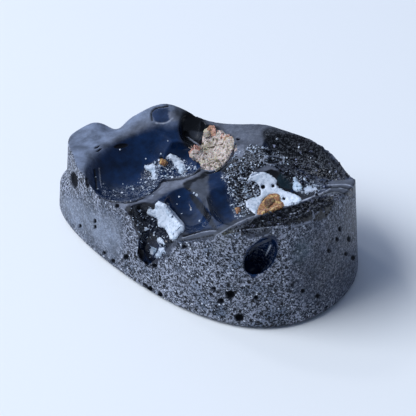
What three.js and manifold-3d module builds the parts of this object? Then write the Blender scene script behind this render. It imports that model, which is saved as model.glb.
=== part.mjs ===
// Druzy lava rock: one pear-shaped slice of black vesicular lava with a ground wall, a flat base and a
// glassy top full of gas bubbles. Crystals line six of the hollows. Millimetres, base on z = 0, +Z up.
import * as THREE from 'three';
import { mergeVertices } from 'three/addons/utils/BufferGeometryUtils.js';
import Module from 'manifold-3d';

const wasm = await Module();
wasm.setup();

// ---- driving dimensions ---------------------------------------------------------------------------
const HALF_LENGTH = 15.5;
const HALF_WIDTH = 8.97;
const PEAR = 1.75; // how much wider the right end is than the left tip
const LEAN = -0.56; // how far the fat end swings to the front
const BULGE = 0.3; // squareness of the long sides
const BLUNT = 0.25; // flattening of the left tip
const TIP_ROUND = -0.07;
const CENTRE_X = -0.25;
const CENTRE_Y = 0.21;
const CHAMFER = 0.4; // bevel round the bottom edge
const TAPER = 0.085; // how far the wall leans in, per mm of height
const RIM_BEVEL = 0.18;
const SHOULDER = { low: 2.6, high: 3.9, depth: 0.62, from: 150, full: 168, fade: 188, to: 204 };
const AROUND = 72; // facets round the wall
const TOP_RINGS = 8;
const PATCH_DEPTH = 4; // half height of the ellipsoid that bounds a crust
const CRUST_GAP = 0.08; // air between a crust and the stone under it

// The uncut top: a sloping plane with broad swells. rot in degrees, h = height of the swell.
const TOP_PLANE = { z: 8.3, alongX: 0.08, alongY: 0.03 };
const SWELLS = [
  { x: -7.3, y: 6.6, sx: 3.0, sy: 2.7, rot: 10, h: 2 }, // far dome
  { x: -13.0, y: 2.6, sx: 1.2, sy: 1.6, rot: 30, h: 0.5 }, // lump on the tip
  { x: -11.9, y: 4.7, sx: 1.0, sy: 1.6, rot: 40, h: -1 }, // saddle between lump and dome
  { x: -6.2, y: -6.4, sx: 2.6, sy: 2.0, rot: -25, h: -0.75 }, // low front lip of the left basin
  { x: 4.0, y: -8.4, sx: 2.0, sy: 2.6, rot: -10, h: -1.25 }, // low lip below the centre bowl
  { x: 12.6, y: -3.8, sx: 5.5, sy: 3.0, rot: 60, h: 1.5 }, // high front right corner
  { x: 2.3, y: 8.2, sx: 2.8, sy: 2.4, rot: 0, h: 0.5 }, // far middle of the rim
  { x: 11.8, y: 6.6, sx: 2.8, sy: 1.8, rot: -30, h: -1.5 }, // low far right of the rim
  { x: -0.5, y: -2.0, sx: 6.0, sy: 4.0, rot: 20, h: -1.25 }, // valley along the middle
  { x: 7.5, y: -1.0, sx: 3.5, sy: 3.0, rot: 0, h: -1.5 }, // its wide right end
];

// Burst gas bubbles, each an ellipsoid: centre, radii, turn about Z, X and Y in degrees, facets.
const BASINS = [
  { at: [-5.75, -2.0, 9.3], r: [4.7, 5.75, 4.1], turn: [12, 0, 0], n: 22 }, // left basin
  { at: [-3.0, 0.95, 7.8], r: [2.6, 2.6, 2.1], turn: [20, 0, 0], n: 16 }, // crystal end of it
  { at: [1.8, -4.5, 9.2], r: [4.9, 2.2, 3.2], turn: [-47, 0, 0], n: 18 }, // centre bowl
  { at: [5.3, -3.6, 9.3], r: [5.2, 1.9, 2.9], turn: [-43, 0, 0], n: 16 }, // dark slope beside it
  { at: [-0.75, 3.75, 9.4], r: [2.35, 3.9, 2.8], turn: [31, 0, 0], n: 18 }, // cream crystal pocket
  { at: [-3.5, 5.1, 9.5], r: [1.5, 2.3, 2.1], turn: [25, 0, 0], n: 14 }, // far middle bowl
  { at: [8.4, 5.4, 9.8], r: [5.3, 2.85, 3.0], turn: [-14, 0, 0], n: 20 }, // far right bowl
  { at: [7.1, -0.2, 10.3], r: [5.8, 4.8, 4.2], turn: [20, 0, 0], n: 22 }, // right basin
  { at: [11.85, -4.2, 10.4], r: [5.1, 1.35, 1.15], turn: [59, 0, -9], n: 16 }, // front ledge trough
  { at: [-6.95, 4.65, 9.7], r: [1.35, 1.15, 0.65], turn: [25, 25, 0], n: 10 }, // dimple on the dome
];
const SIDE_HOLLOWS = [
  { at: [0.6, -7.5, 7.0], r: [2.7, 1.7, 2.0], turn: [-15, 0, 20], n: 16 }, // wide head of the notch
  { at: [0.2, -7.9, 4.6], r: [1.2, 1.0, 2.0], turn: [-15, 0, 16], n: 12 }, // narrow foot of the notch
  { at: [10.75, -7.5, 6.95], r: [1.05, 1.25, 2.75], turn: [-25, 0, 31], n: 14 }, // tilted side bubble
];
// Small gas pits in the wall: turn round the plan outline in degrees, height, radius across and up.
const PITS = [
  { turn: 226, z: 5.5, r: 0.35, tall: 0.7 },
  { turn: 237, z: 6.5, r: 0.22, tall: 0.5 },
  { turn: 268, z: 3, r: 0.3, tall: 0.7 },
  { turn: 305, z: 3.25, r: 0.45, tall: 0.4 },
  { turn: 302, z: 2.5, r: 0.3, tall: 0.3 },
  { turn: 310, z: 1, r: 0.45, tall: 0.4 },
];

// Crystal crusts. at/r = plan ellipse of the crust, thick = sheet thickness, count and size of crystals.
const CRUSTS = [
  {
    name: 'cream_crust', color: 0xc9b3a0, roughness: 0.55,
    at: [-0.75, 3.6], r: [1.75, 2.8], rot: 31, thick: 0.5, count: 18, size: [0.45, 0.75],
  },
  {
    name: 'left_basin_crust', color: 0xb9b4ad, roughness: 0.35,
    at: [-3.7, 1.1], r: [2.3, 1.8], rot: 30, thick: 0.2, count: 16, size: [0.26, 0.5],
  },
  {
    name: 'right_basin_crust', color: 0xcfd6e2, roughness: 0.2,
    at: [6.5, 1.2], r: [3.1, 1.9], rot: 20, thick: 0.2, count: 16, size: [0.2, 0.42],
  },
  {
    name: 'far_bowl_crust', color: 0x14171d, roughness: 0.2,
    at: [8.5, 5.7], r: [4.1, 1.95], rot: -14, thick: 0.2, count: 20, size: [0.2, 0.38],
  },
  {
    name: 'front_ledge_crust', color: 0x101216, roughness: 0.3,
    at: [11.85, -4.2], r: [3.9, 0.85], rot: 59, thick: 0.2, count: 16, size: [0.22, 0.38],
  },
];
const NOTCH_CRUST = {
  name: 'notch_crust', color: 0xc4d3e4, roughness: 0.15,
  at: [1.3, -7.2, 7.0], r: [1.7, 1.7, 2.2], outward: [0.1, -0.75, 0.65], thick: 0.2, count: 10,
  size: [0.2, 0.4],
};

// ---- helpers --------------------------------------------------------------------------------------
const rad = THREE.MathUtils.degToRad;

// Turns a three.js geometry into a closed solid, leaving out the empty triangles at its poles.
function solidFrom(geometry) {
  const bare = geometry.clone();
  bare.deleteAttribute('normal');
  bare.deleteAttribute('uv');
  const merged = mergeVertices(bare, 1e-5);
  const index = Array.from(merged.index.array);
  const kept = [];
  for (let i = 0; i < index.length; i += 3) {
    const [a, b, c] = [index[i], index[i + 1], index[i + 2]];
    if (a !== b && b !== c && c !== a) {
      kept.push(a, b, c);
    }
  }
  const mesh = new wasm.Mesh({
    numProp: 3,
    vertProperties: new Float32Array(merged.attributes.position.array),
    triVerts: new Uint32Array(kept),
  });
  mesh.merge();
  return new wasm.Manifold(mesh);
}

function meshFrom(solid, name, color, roughness) {
  const data = solid.getMesh();
  const geometry = new THREE.BufferGeometry();
  geometry.setAttribute('position', new THREE.BufferAttribute(new Float32Array(data.vertProperties), 3));
  geometry.setIndex(new THREE.BufferAttribute(new Uint32Array(data.triVerts), 1));
  geometry.computeVertexNormals();
  const material = new THREE.MeshStandardMaterial({ color, roughness, metalness: 0, flatShading: true });
  const mesh = new THREE.Mesh(geometry, material);
  mesh.name = name;
  return mesh;
}

// Keeps the biggest body of a solid, so that no loose crumb is left beside it.
function biggest(solid) {
  let best = null;
  for (const body of solid.decompose()) {
    if (best === null || body.volume() > best.volume()) {
      best = body;
    }
  }
  return best;
}

// A repeatable sequence of numbers from 0 to 1.
function sequence(seed) {
  let state = seed;
  return () => {
    state = (state * 16807) % 2147483647;
    return state / 2147483647;
  };
}

function smooth(low, high, value) {
  const t = THREE.MathUtils.clamp((value - low) / (high - low), 0, 1);
  return t * t * (3 - 2 * t);
}

// ---- shape of the stone ---------------------------------------------------------------------------
function outline(angle) {
  return new THREE.Vector2(
    CENTRE_X + HALF_LENGTH * Math.cos(angle) + BLUNT * Math.cos(2 * angle)
      + TIP_ROUND * Math.cos(3 * angle),
    CENTRE_Y + HALF_WIDTH * Math.sin(angle) + PEAR * Math.sin(2 * angle) + LEAN * Math.cos(angle)
      + BULGE * Math.sin(3 * angle),
  );
}

function outward(angle) {
  const step = 0.001;
  const along = outline(angle + step).sub(outline(angle - step)).normalize();
  return new THREE.Vector2(along.y, -along.x);
}

function topHeight(x, y) {
  let z = TOP_PLANE.z + TOP_PLANE.alongX * x + TOP_PLANE.alongY * y;
  for (const s of SWELLS) {
    const c = Math.cos(rad(s.rot));
    const n = Math.sin(rad(s.rot));
    const u = ((x - s.x) * c + (y - s.y) * n) / s.sx;
    const v = ((y - s.y) * c - (x - s.x) * n) / s.sy;
    z += s.h * Math.exp(-u * u - v * v);
  }
  return z;
}

// How far the wall stands in from the plan outline at a height.
function inset(point, z) {
  const bearing = (THREE.MathUtils.radToDeg(Math.atan2(point.y, point.x)) + 360) % 360;
  const share = smooth(SHOULDER.from, SHOULDER.full, bearing) - smooth(SHOULDER.fade, SHOULDER.to, bearing);
  return TAPER * z + SHOULDER.depth * share * smooth(SHOULDER.low, SHOULDER.high, z);
}

function wallPoint(angle, z, extra = 0) {
  const edge = outline(angle);
  const depth = inset(edge, z) + extra;
  return edge.addScaledVector(outward(angle), -depth);
}

// Height of the top edge at an angle: the wall and the top surface meet there.
function rimHeight(angle) {
  let z = 8;
  for (let i = 0; i < 6; i += 1) {
    const p = wallPoint(angle, z);
    z = topHeight(p.x, p.y);
  }
  return z;
}

// The blank is a lathed drum whose rows are then moved onto the pear outline: y counts the rows from
// the base centre (0) to the top centre, x is the share of the way out from the centre.
function blankStone() {
  const wallRows = [
    (rim) => CHAMFER,
    (rim) => 1.5,
    (rim) => SHOULDER.low,
    (rim) => (SHOULDER.low + SHOULDER.high) / 2,
    (rim) => SHOULDER.high,
    (rim) => THREE.MathUtils.lerp(SHOULDER.high, rim - RIM_BEVEL, 0.34),
    (rim) => THREE.MathUtils.lerp(SHOULDER.high, rim - RIM_BEVEL, 0.67),
    (rim) => rim - RIM_BEVEL,
  ];
  const firstWall = 2;
  const firstRing = firstWall + wallRows.length;
  const rows = [new THREE.Vector2(0, 0), new THREE.Vector2(1, 1)];
  wallRows.forEach((row, i) => rows.push(new THREE.Vector2(1, firstWall + i)));
  for (let i = 0; i <= TOP_RINGS; i += 1) {
    rows.push(new THREE.Vector2(1 - i / TOP_RINGS, firstRing + i));
  }
  const drum = new THREE.LatheGeometry(rows, AROUND);
  const spots = drum.attributes.position;
  for (let i = 0; i < spots.count; i += 1) {
    const row = Math.round(spots.getY(i));
    const share = Math.hypot(spots.getX(i), spots.getZ(i));
    const angle = Math.round((Math.atan2(spots.getX(i), spots.getZ(i)) / (2 * Math.PI)) * AROUND)
      * ((2 * Math.PI) / AROUND);
    if (row < firstWall) {
      const foot = wallPoint(angle, 0, CHAMFER);
      spots.setXYZ(i, foot.x * share, foot.y * share, 0);
    } else if (row < firstRing) {
      const z = wallRows[row - firstWall](rimHeight(angle));
      const p = wallPoint(angle, z);
      spots.setXYZ(i, p.x, p.y, z);
    } else {
      const rim = wallPoint(angle, rimHeight(angle), RIM_BEVEL);
      spots.setXYZ(i, rim.x * share, rim.y * share, topHeight(rim.x * share, rim.y * share));
    }
  }
  return solidFrom(drum);
}

function turned(turn) {
  const bend = new THREE.Euler(rad(turn[1]), rad(turn[2]), rad(turn[0]), 'ZXY');
  return new THREE.Quaternion().setFromEuler(bend);
}

function ellipsoid(at, r, turn, n) {
  const ball = new THREE.SphereGeometry(1, n, Math.round(n * 0.5));
  ball.rotateX(Math.PI / 2);
  ball.scale(r[0], r[1], r[2]);
  ball.applyQuaternion(turned(turn));
  ball.translate(at[0], at[1], at[2]);
  return solidFrom(ball);
}

function carvedStone() {
  let stone = blankStone();
  for (const b of [...BASINS, ...SIDE_HOLLOWS]) {
    stone = stone.subtract(ellipsoid(b.at, b.r, b.turn, b.n));
  }
  for (const p of PITS) {
    const spot = wallPoint(rad(p.turn), p.z);
    stone = stone.subtract(ellipsoid([spot.x, spot.y, p.z], [p.r, p.r, p.tall], [0, 0, 0], 8));
  }
  return biggest(stone);
}

// Lowest surface met from above at a spot: the floor of a basin, or the top where none is.
function floorHeight(x, y) {
  let z = topHeight(x, y);
  for (const b of BASINS) {
    const back = turned(b.turn).invert();
    const size = new THREE.Vector3(...b.r);
    const start = new THREE.Vector3(x - b.at[0], y - b.at[1], 0).applyQuaternion(back).divide(size);
    const up = new THREE.Vector3(0, 0, 1).applyQuaternion(back).divide(size);
    const half = start.dot(up);
    const inside = half * half - up.lengthSq() * (start.lengthSq() - 1);
    if (inside > 0) {
      z = Math.min(z, b.at[2] - (half + Math.sqrt(inside)) / up.lengthSq());
    }
  }
  return z;
}

// One pointed crystal with four flat faces, standing on a spot and tipped a little.
function crystal(spot, radius, up, random) {
  const tall = radius * THREE.MathUtils.lerp(1.1, 1.9, random());
  const point = new THREE.ConeGeometry(radius, tall, 4);
  point.translate(0, tall / 2, 0);
  const tip = new THREE.Vector3(random() - 0.5, random() - 0.5, random() - 0.5).multiplyScalar(0.7);
  tip.add(up).normalize();
  const stand = new THREE.Quaternion().setFromUnitVectors(new THREE.Vector3(0, 1, 0), tip);
  point.rotateY(random() * Math.PI);
  point.applyQuaternion(stand);
  point.translate(spot.x, spot.y, spot.z);
  return solidFrom(point);
}

// ---- crusts ---------------------------------------------------------------------------------------
// A crust is a thin sheet that follows the hollow's floor, with crystals standing in it.
function fitToStone(body, stone, direction) {
  const lift = direction.clone().multiplyScalar(CRUST_GAP);
  const raised = stone.translate([lift.x, lift.y, lift.z]);
  return biggest(body.subtract(raised).subtract(stone));
}

function basinCrust(spec, stone, seed) {
  const random = sequence(seed);
  const up = new THREE.Vector3(0, 0, 1);
  const middle = floorHeight(spec.at[0], spec.at[1]);
  const patch = ellipsoid([...spec.at, middle], [...spec.r, PATCH_DEPTH], [spec.rot, 0, 0], 16);
  const lifted = stone.translate([0, 0, spec.thick + CRUST_GAP]);
  let body = patch.intersect(lifted);
  for (let i = 0; i < spec.count; i += 1) {
    const reach = Math.sqrt((i + 0.5) / spec.count) * 0.9;
    const bearing = i * 2.4;
    const c = Math.cos(rad(spec.rot));
    const n = Math.sin(rad(spec.rot));
    const u = spec.r[0] * reach * Math.cos(bearing);
    const v = spec.r[1] * reach * Math.sin(bearing);
    const x = spec.at[0] + u * c - v * n;
    const y = spec.at[1] + u * n + v * c;
    const radius = THREE.MathUtils.lerp(spec.size[0], spec.size[1], random());
    const spot = new THREE.Vector3(x, y, floorHeight(x, y) + spec.thick * 0.6);
    body = body.add(crystal(spot, radius, up, random));
  }
  return fitToStone(body, stone, up);
}

// The notch crust hangs on the side wall of the notch, so its crystals point out of the hollow.
function notchCrust(spec, stone, seed) {
  const random = sequence(seed);
  const out = new THREE.Vector3(...spec.outward).normalize();
  const shift = out.clone().multiplyScalar(spec.thick + CRUST_GAP);
  const patch = ellipsoid(spec.at, spec.r, [0, 0, 0], 14);
  const head = SIDE_HOLLOWS[0];
  let body = patch.intersect(stone.translate([shift.x, shift.y, shift.z]));
  for (let i = 0; i < spec.count; i += 1) {
    const inward = new THREE.Vector3(random() * 1.2 - 0.2, 1, random() - 0.8).normalize();
    const reach = inward.clone().multiply(new THREE.Vector3(...head.r)).multiplyScalar(0.93);
    const spot = new THREE.Vector3(...head.at).add(reach);
    const radius = THREE.MathUtils.lerp(spec.size[0], spec.size[1], random());
    body = body.add(crystal(spot, radius, inward.negate(), random));
  }
  return fitToStone(body, stone, out);
}

// ---- assembly -------------------------------------------------------------------------------------
const rock = new THREE.Group();
rock.name = 'druzy_lava_rock';
const stone = carvedStone();
rock.add(meshFrom(stone, 'stone', 0x2a2d33, 0.6));
CRUSTS.forEach((spec, i) => {
  rock.add(meshFrom(basinCrust(spec, stone, 101 + 7 * i), spec.name, spec.color, spec.roughness));
});
const notch = notchCrust(NOTCH_CRUST, stone, 211);
rock.add(meshFrom(notch, NOTCH_CRUST.name, NOTCH_CRUST.color, NOTCH_CRUST.roughness));

export default rock;
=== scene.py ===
"""Druzy lava rock: the visual model of a pear-shaped slice of vesicular lava.

The stone is one remeshed body with a ground wall and a glassy top. Mineral films and small crystals
line its hollows. Helper functions work in millimetres, and finished meshes are scaled to metres.
Patches of the skin, some of them painted sheen, highlights and shade, are drawn in pixels of the square
frame that the scene's camera sees.
"""

import math
import random

import bmesh
import bpy
import numpy as np
from bpy.props import FloatProperty, FloatVectorProperty, IntProperty, PointerProperty
from bpy.types import Operator, Panel, PropertyGroup
from mathutils import Matrix, Vector, noise
from mathutils.bvhtree import BVHTree


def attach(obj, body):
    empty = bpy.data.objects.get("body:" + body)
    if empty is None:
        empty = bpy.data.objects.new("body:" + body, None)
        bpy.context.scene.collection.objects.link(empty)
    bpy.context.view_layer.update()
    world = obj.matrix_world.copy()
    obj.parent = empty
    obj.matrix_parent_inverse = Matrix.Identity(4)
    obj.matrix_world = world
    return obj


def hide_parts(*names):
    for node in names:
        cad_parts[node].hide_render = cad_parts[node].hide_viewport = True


bl_info = {
    "name": "Druzy lava rock",
    "version": (1, 1, 0),
    "blender": (4, 5, 0),
    "location": "View3D > Sidebar > Lava rock",
    "description": "Builds a druzy lava rock with films and crystals in its gas bubbles",
    "category": "Object",
}

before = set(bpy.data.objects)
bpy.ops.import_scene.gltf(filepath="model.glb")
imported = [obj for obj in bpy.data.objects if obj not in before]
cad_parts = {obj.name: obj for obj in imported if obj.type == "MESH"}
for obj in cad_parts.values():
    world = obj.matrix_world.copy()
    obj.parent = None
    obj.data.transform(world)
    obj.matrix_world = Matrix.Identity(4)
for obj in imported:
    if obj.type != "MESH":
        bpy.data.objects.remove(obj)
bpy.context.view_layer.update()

MM = 0.001
TO_METRES = Matrix.Scale(MM, 4)

# ---- shape of the stone, in millimetres, as in the part's source ----------------------------------
HALF_LENGTH = 15.5
HALF_WIDTH = 8.97
PEAR = 1.75
LEAN = -0.56
BULGE = 0.3
BLUNT = 0.25
TIP_ROUND = -0.07
CENTRE = (-0.25, 0.21)
CHAMFER = 0.4
TAPER = 0.085
SHOULDER = {"low": 2.6, "high": 3.9, "depth": 0.62, "bearings": (150, 168, 188, 204)}
TOP_PLANE = (8.3, 0.08, 0.03)

# x, y, half widths, turn, height
SWELLS = (
    (-7.3, 6.6, 3.0, 2.7, 10, 2.0),
    (-13.0, 2.6, 1.2, 1.6, 30, 0.5),
    (-11.9, 4.7, 1.0, 1.6, 40, -1.0),
    (-6.2, -6.4, 2.6, 2.0, -25, -0.75),
    (4.0, -8.4, 2.0, 2.6, -10, -1.25),
    (12.6, -3.8, 5.5, 3.0, 60, 1.5),
    (2.3, 8.2, 2.8, 2.4, 0, 0.5),
    (11.8, 6.6, 2.8, 1.8, -30, -1.5),
    (-0.5, -2.0, 6.0, 4.0, 20, -1.25),
    (7.5, -1.0, 3.5, 3.0, 0, -1.5),
)

# centre, radii, turn about Z, X and Y, softness of the rim
HOLLOWS = (
    ((-5.75, -2.0, 9.3), (4.7, 5.75, 4.1), (12, 0, 0), 0.12),
    ((-3.0, 0.95, 7.8), (2.6, 2.6, 2.1), (20, 0, 0), 0.14),
    ((1.8, -4.5, 9.2), (4.9, 2.2, 3.2), (-47, 0, 0), 0.1),
    ((5.3, -3.6, 9.3), (5.2, 1.9, 2.9), (-43, 0, 0), 0.1),
    ((-0.75, 3.75, 9.4), (2.35, 3.9, 2.8), (31, 0, 0), 0.1),
    ((-3.5, 5.1, 9.5), (1.5, 2.3, 2.1), (25, 0, 0), 0.16),
    ((8.4, 5.4, 9.8), (5.3, 2.85, 3.0), (-14, 0, 0), 0.12),
    ((7.1, -0.2, 10.3), (5.8, 4.8, 4.2), (20, 0, 0), 0.4),
    ((11.85, -4.2, 10.4), (5.1, 1.35, 1.15), (59, 0, -9), 0.06),
    ((-6.95, 4.65, 9.7), (1.35, 1.15, 0.65), (25, 25, 0), 0.1),
    ((0.6, -7.5, 7.0), (2.7, 1.7, 2.0), (-15, 0, 20), 0.1),
    ((0.2, -7.9, 4.6), (1.2, 1.0, 2.0), (-15, 0, 16), 0.08),
    ((10.75, -7.5, 6.95), (1.05, 1.25, 2.75), (-25, 0, 31), 0.08),
)

# Stretch of rim that is worn round: middle, reach, extra softness.
WORN_RIM = ((-9.2, 1.0), 4.0, 0.6)

# Shares that turn a gap along an axis into a distance: leaning wall, bevel, sloping top.
WALL_SHARE = 0.99
BEVEL_SHARE = 0.707
TOP_SHARE = 0.95
# Roundness where the top meets the wall and the hollows.
EDGE_SOFT = 0.2
RIM_SOFT = 0.1
# Points further than this from a hollow are left out of its formula.
HOLLOW_REACH = 1.2
NO_HOLLOW = -9.0
# Vertices move by no more than this in one round of settling.
LARGEST_MOVE = 0.3

# The skin is refined above this height and this near to the rim.
FINE_ABOVE = 3
FINE_STRIP = 0.3
# Vertices lower than this are on the base.
ON_BASE = 0.003
# Chips keep this far in from the wall, and above this height.
CHIPS_INSIDE = 0.6
CHIPS_ABOVE = 5
HOLLOWS_ABOVE = 4

# Films: width of the rising edge, depth of the underside, strip kept outside the outline.
FILM_EDGE = 0.09
FILM_BACK = 0.16
FILM_STRIP = 0.35

# Widths of the skin's broad and small waves, of its chips and their roughness, of the wavering of
# the patches' edges, with that wavering's reach.
BROAD_WAVE = 1.6
SMALL_WAVE = 0.55
CHIP = 0.42
CHIP_ROUGH = 0.3
WAVER = 0.45
WAVER_REACH = 0.1
# Softness of the ring of painted shade round a film, and of a veil's edge.
RING_SOFT = 0.32
VEIL_SOFT = 1.0

# Random small pits: smallest radius, spread of radii, depth as a share of the radius. The pit mask
# darkens them as painted shade.
SMALL_PIT = (0.1, 0.16, 0.7)
# Plumb lines start at this height.
ABOVE_ALL = 20
# Crystal shapes, as shares of the size: height and tip of a point, shear of a block, axes.
POINT_HEIGHT = (1.0, 1.7)
POINT_TIP = (0.05, 0.25)
BLOCK_SHEAR = 0.35
BLOCK_AXES = ((0.7, 1.2), (0.7, 1.1), (0.6, 1.1))
BEAD_AXES = ((0.8, 1.2), (0.8, 1.2), (0.5, 0.9))
# Cream crystals: sizes of the small and the large ones, share of small ones, ranges of tint.
CREAM_SMALL = (0.2, 0.4)
CREAM_LARGE = (0.4, 0.62)
SMALL_SHARE = 0.75
PINK_TINTS = (0.84, 1.0)
PLAIN_TINT = 0.76
# Crystals are made in batches of this many.
BATCH = 24
# Seeds of the random draws.
PIT_SEED = 41
SPARK_SEED = 61
CREAM_SEED = 77

# Plan ellipses that the black crystals fill: centre, half widths, turn.
FAR_BOWL = ((8.5, 5.6), (4.7, 2.35), -14)
FRONT_LEDGE = ((11.85, -4.2), (4.7, 1.1), 59)

# ---- the camera's frame ---------------------------------------------------------------------------
AIM = (-2.26, 5.78, 0.0)
AZIMUTH = 31.0
ELEVATION = 33.0
DISTANCE = 130.0
FRAME = 416
FOCAL = 1352.0
SENSOR = 36
PIXEL = DISTANCE / FOCAL

# ---- light, in metres to the right of, away from and above the stone as the camera sees it --------
KEY_AT = (-0.42, -0.06, 0.46)
KEY_SIZE = (0.5, 0.4)
GLINT_TOWARD = (-0.9, 1.0, 1.5)
GLINT_DISTANCE = 0.5
WINDOW_BEARING = math.radians(50)
WINDOW_RISE = math.radians(30)

# ---- what the camera sees -------------------------------------------------------------------------
# A vertex is seen if it faces the camera by more than GRAZING, and nothing is in the way of a ray
# that starts CLEAR_OF_SKIN millimetres off it.
GRAZING = 0.02
CLEAR_OF_SKIN = 0.12

# ---- patches, in pixels of that frame; a curve rounds their corners -------------------------------
RIGHT_FILM = (
    (251, 174), (256, 172), (268, 173), (275, 179), (277, 185), (284, 190), (293, 194), (300, 197),
    (300, 202), (292, 205), (285, 206), (281, 200), (279, 195), (272, 194), (266, 197), (261, 204),
    (256, 214), (252, 212), (246, 205), (248, 199), (257, 197), (261, 192), (259, 185), (252, 181),
    (247, 181),
)
RUST_WEDGE = (
    (257, 214), (260, 205), (266, 197), (273, 193), (280, 195), (281, 200), (284, 206), (278, 210),
    (266, 213),
)
RUST_CORE = ((263, 204), (267, 200), (273, 199), (277, 203), (273, 208), (266, 210))
RUST_CRUMB = ((235, 209), (239, 207), (241, 212), (237, 214))
BLUE_SHARDS = ((149, 251), (153, 246), (157, 249), (153, 255))
BLUE_FILM = ((293, 178), (296, 177), (303, 187), (300, 191), (294, 190))
GREY_FILM = ((305, 189), (312, 184), (319, 187), (312, 192), (305, 193))
LEFT_LUMPS = ((145, 168), (150, 164), (156, 166), (157, 176), (153, 180), (150, 174))
LEFT_BAND = ((167, 157), (172, 154), (180, 159), (185, 167), (181, 174), (177, 169), (173, 162))
ORANGE_LUMPS = ((159, 162), (162, 159), (167, 162), (165, 166), (160, 165))
NOTCH_FILM = (
    (148, 214), (149, 209), (154, 209), (156, 202), (165, 204), (174, 212), (184, 224), (184, 231),
    (178, 236), (173, 241), (168, 235), (165, 228), (158, 226), (157, 218),
)
NOTCH_SHARDS = ((157, 239), (162, 238), (164, 244), (159, 243))
FOOT_SHARDS = ((156, 252), (161, 249), (164, 252), (160, 257), (156, 256))
CREAM_BED = (
    (191, 156), (194, 147), (202, 147), (204, 132), (213, 127), (221, 133), (233, 137), (233, 148),
    (228, 159), (218, 169), (206, 169), (197, 161),
)
LEFT_GRAVEL = (
    (140, 177), (150, 166), (160, 158), (172, 157), (190, 163), (196, 171), (184, 177), (164, 179),
    (154, 188), (144, 190),
)
NEAR_GRAVEL = (
    (102, 183), (112, 190), (130, 185), (150, 182), (157, 184), (150, 194), (138, 199), (118, 202),
    (105, 198),
)
RIGHT_GRAVEL = (
    (222, 173), (236, 176), (258, 184), (259, 196), (248, 202), (251, 212), (238, 218), (230, 204),
    (226, 186),
)
SADDLE_GRAVEL = (
    (228, 168), (236, 152), (246, 146), (262, 147), (286, 157), (289, 166), (262, 167), (246, 180),
    (230, 180),
)
BLUE_GRAVEL = ((281, 169), (300, 176), (321, 186), (316, 194), (298, 192), (291, 180))
NOTCH_GRAVEL = (
    (129, 207), (150, 206), (157, 218), (166, 231), (169, 243), (161, 258), (150, 258), (138, 232),
)

LEDGE_BAND = (
    (219, 234), (240, 224), (265, 215), (302, 203), (328, 196), (334, 200), (326, 218), (304, 222),
    (277, 226), (252, 229), (228, 234),
)
FAR_SLOPE = (
    (262, 131), (280, 127), (300, 133), (322, 146), (347, 176), (332, 181), (300, 171), (272, 152),
)
BACK_FLAT = (
    (205, 121), (225, 118), (266, 124), (264, 133), (248, 147), (236, 142), (220, 129),
)
PINK_TIPS = ((193, 152, 5), (214, 129, 6), (229, 138, 6))

# Films with a ring of painted shade round them, and how much of each patch is chipped.
RINGED = (NOTCH_FILM, RIGHT_FILM, LEFT_LUMPS, LEFT_BAND, CREAM_BED, BLUE_FILM, GREY_FILM)
CHIPPED = (
    (SADDLE_GRAVEL, 0.8), (RIGHT_GRAVEL, 0.8), (NEAR_GRAVEL, 0.6), (LEFT_GRAVEL, 0.5),
    (NOTCH_GRAVEL, 0.2), (BLUE_GRAVEL, 0.5), (LEDGE_BAND, 0.3), (FAR_SLOPE, 0.28),
    (BACK_FLAT, 0.3),
)

# Tones of the skin: colour and matte share. The grey, slate, worn, lavender, light and white tones on
# the glassy skin are partly painted sheen and highlights, standing in for the sky reflected in the
# glass.
TONES = {
    "black": ((0.004, 0.0045, 0.006), 0.1),
    "deep": ((0.004, 0.006, 0.014), 0.08),
    "navy": ((0.003, 0.013, 0.045), 0.05),
    "teal": ((0.005, 0.014, 0.021), 0.15),
    "slate": ((0.04, 0.047, 0.064), 0.4),
    # the worn tone is partly painted sheen: a pale coat standing in for the sky reflected in the glass
    "worn_and_sheen": ((0.075, 0.086, 0.115), 0.5),
    "grey": ((0.135, 0.152, 0.2), 0.6),
    "lavender_sheen": ((0.125, 0.155, 0.225), 0.45),
    "painted_light": ((0.19, 0.225, 0.29), 0.5),
    "olive": ((0.2, 0.21, 0.1), 0.5),
    "sea": ((0.09, 0.2, 0.24), 0.4),
    "light": ((0.22, 0.245, 0.31), 0.45),
    "white": ((0.7, 0.76, 0.86), 0.3),
}

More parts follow.
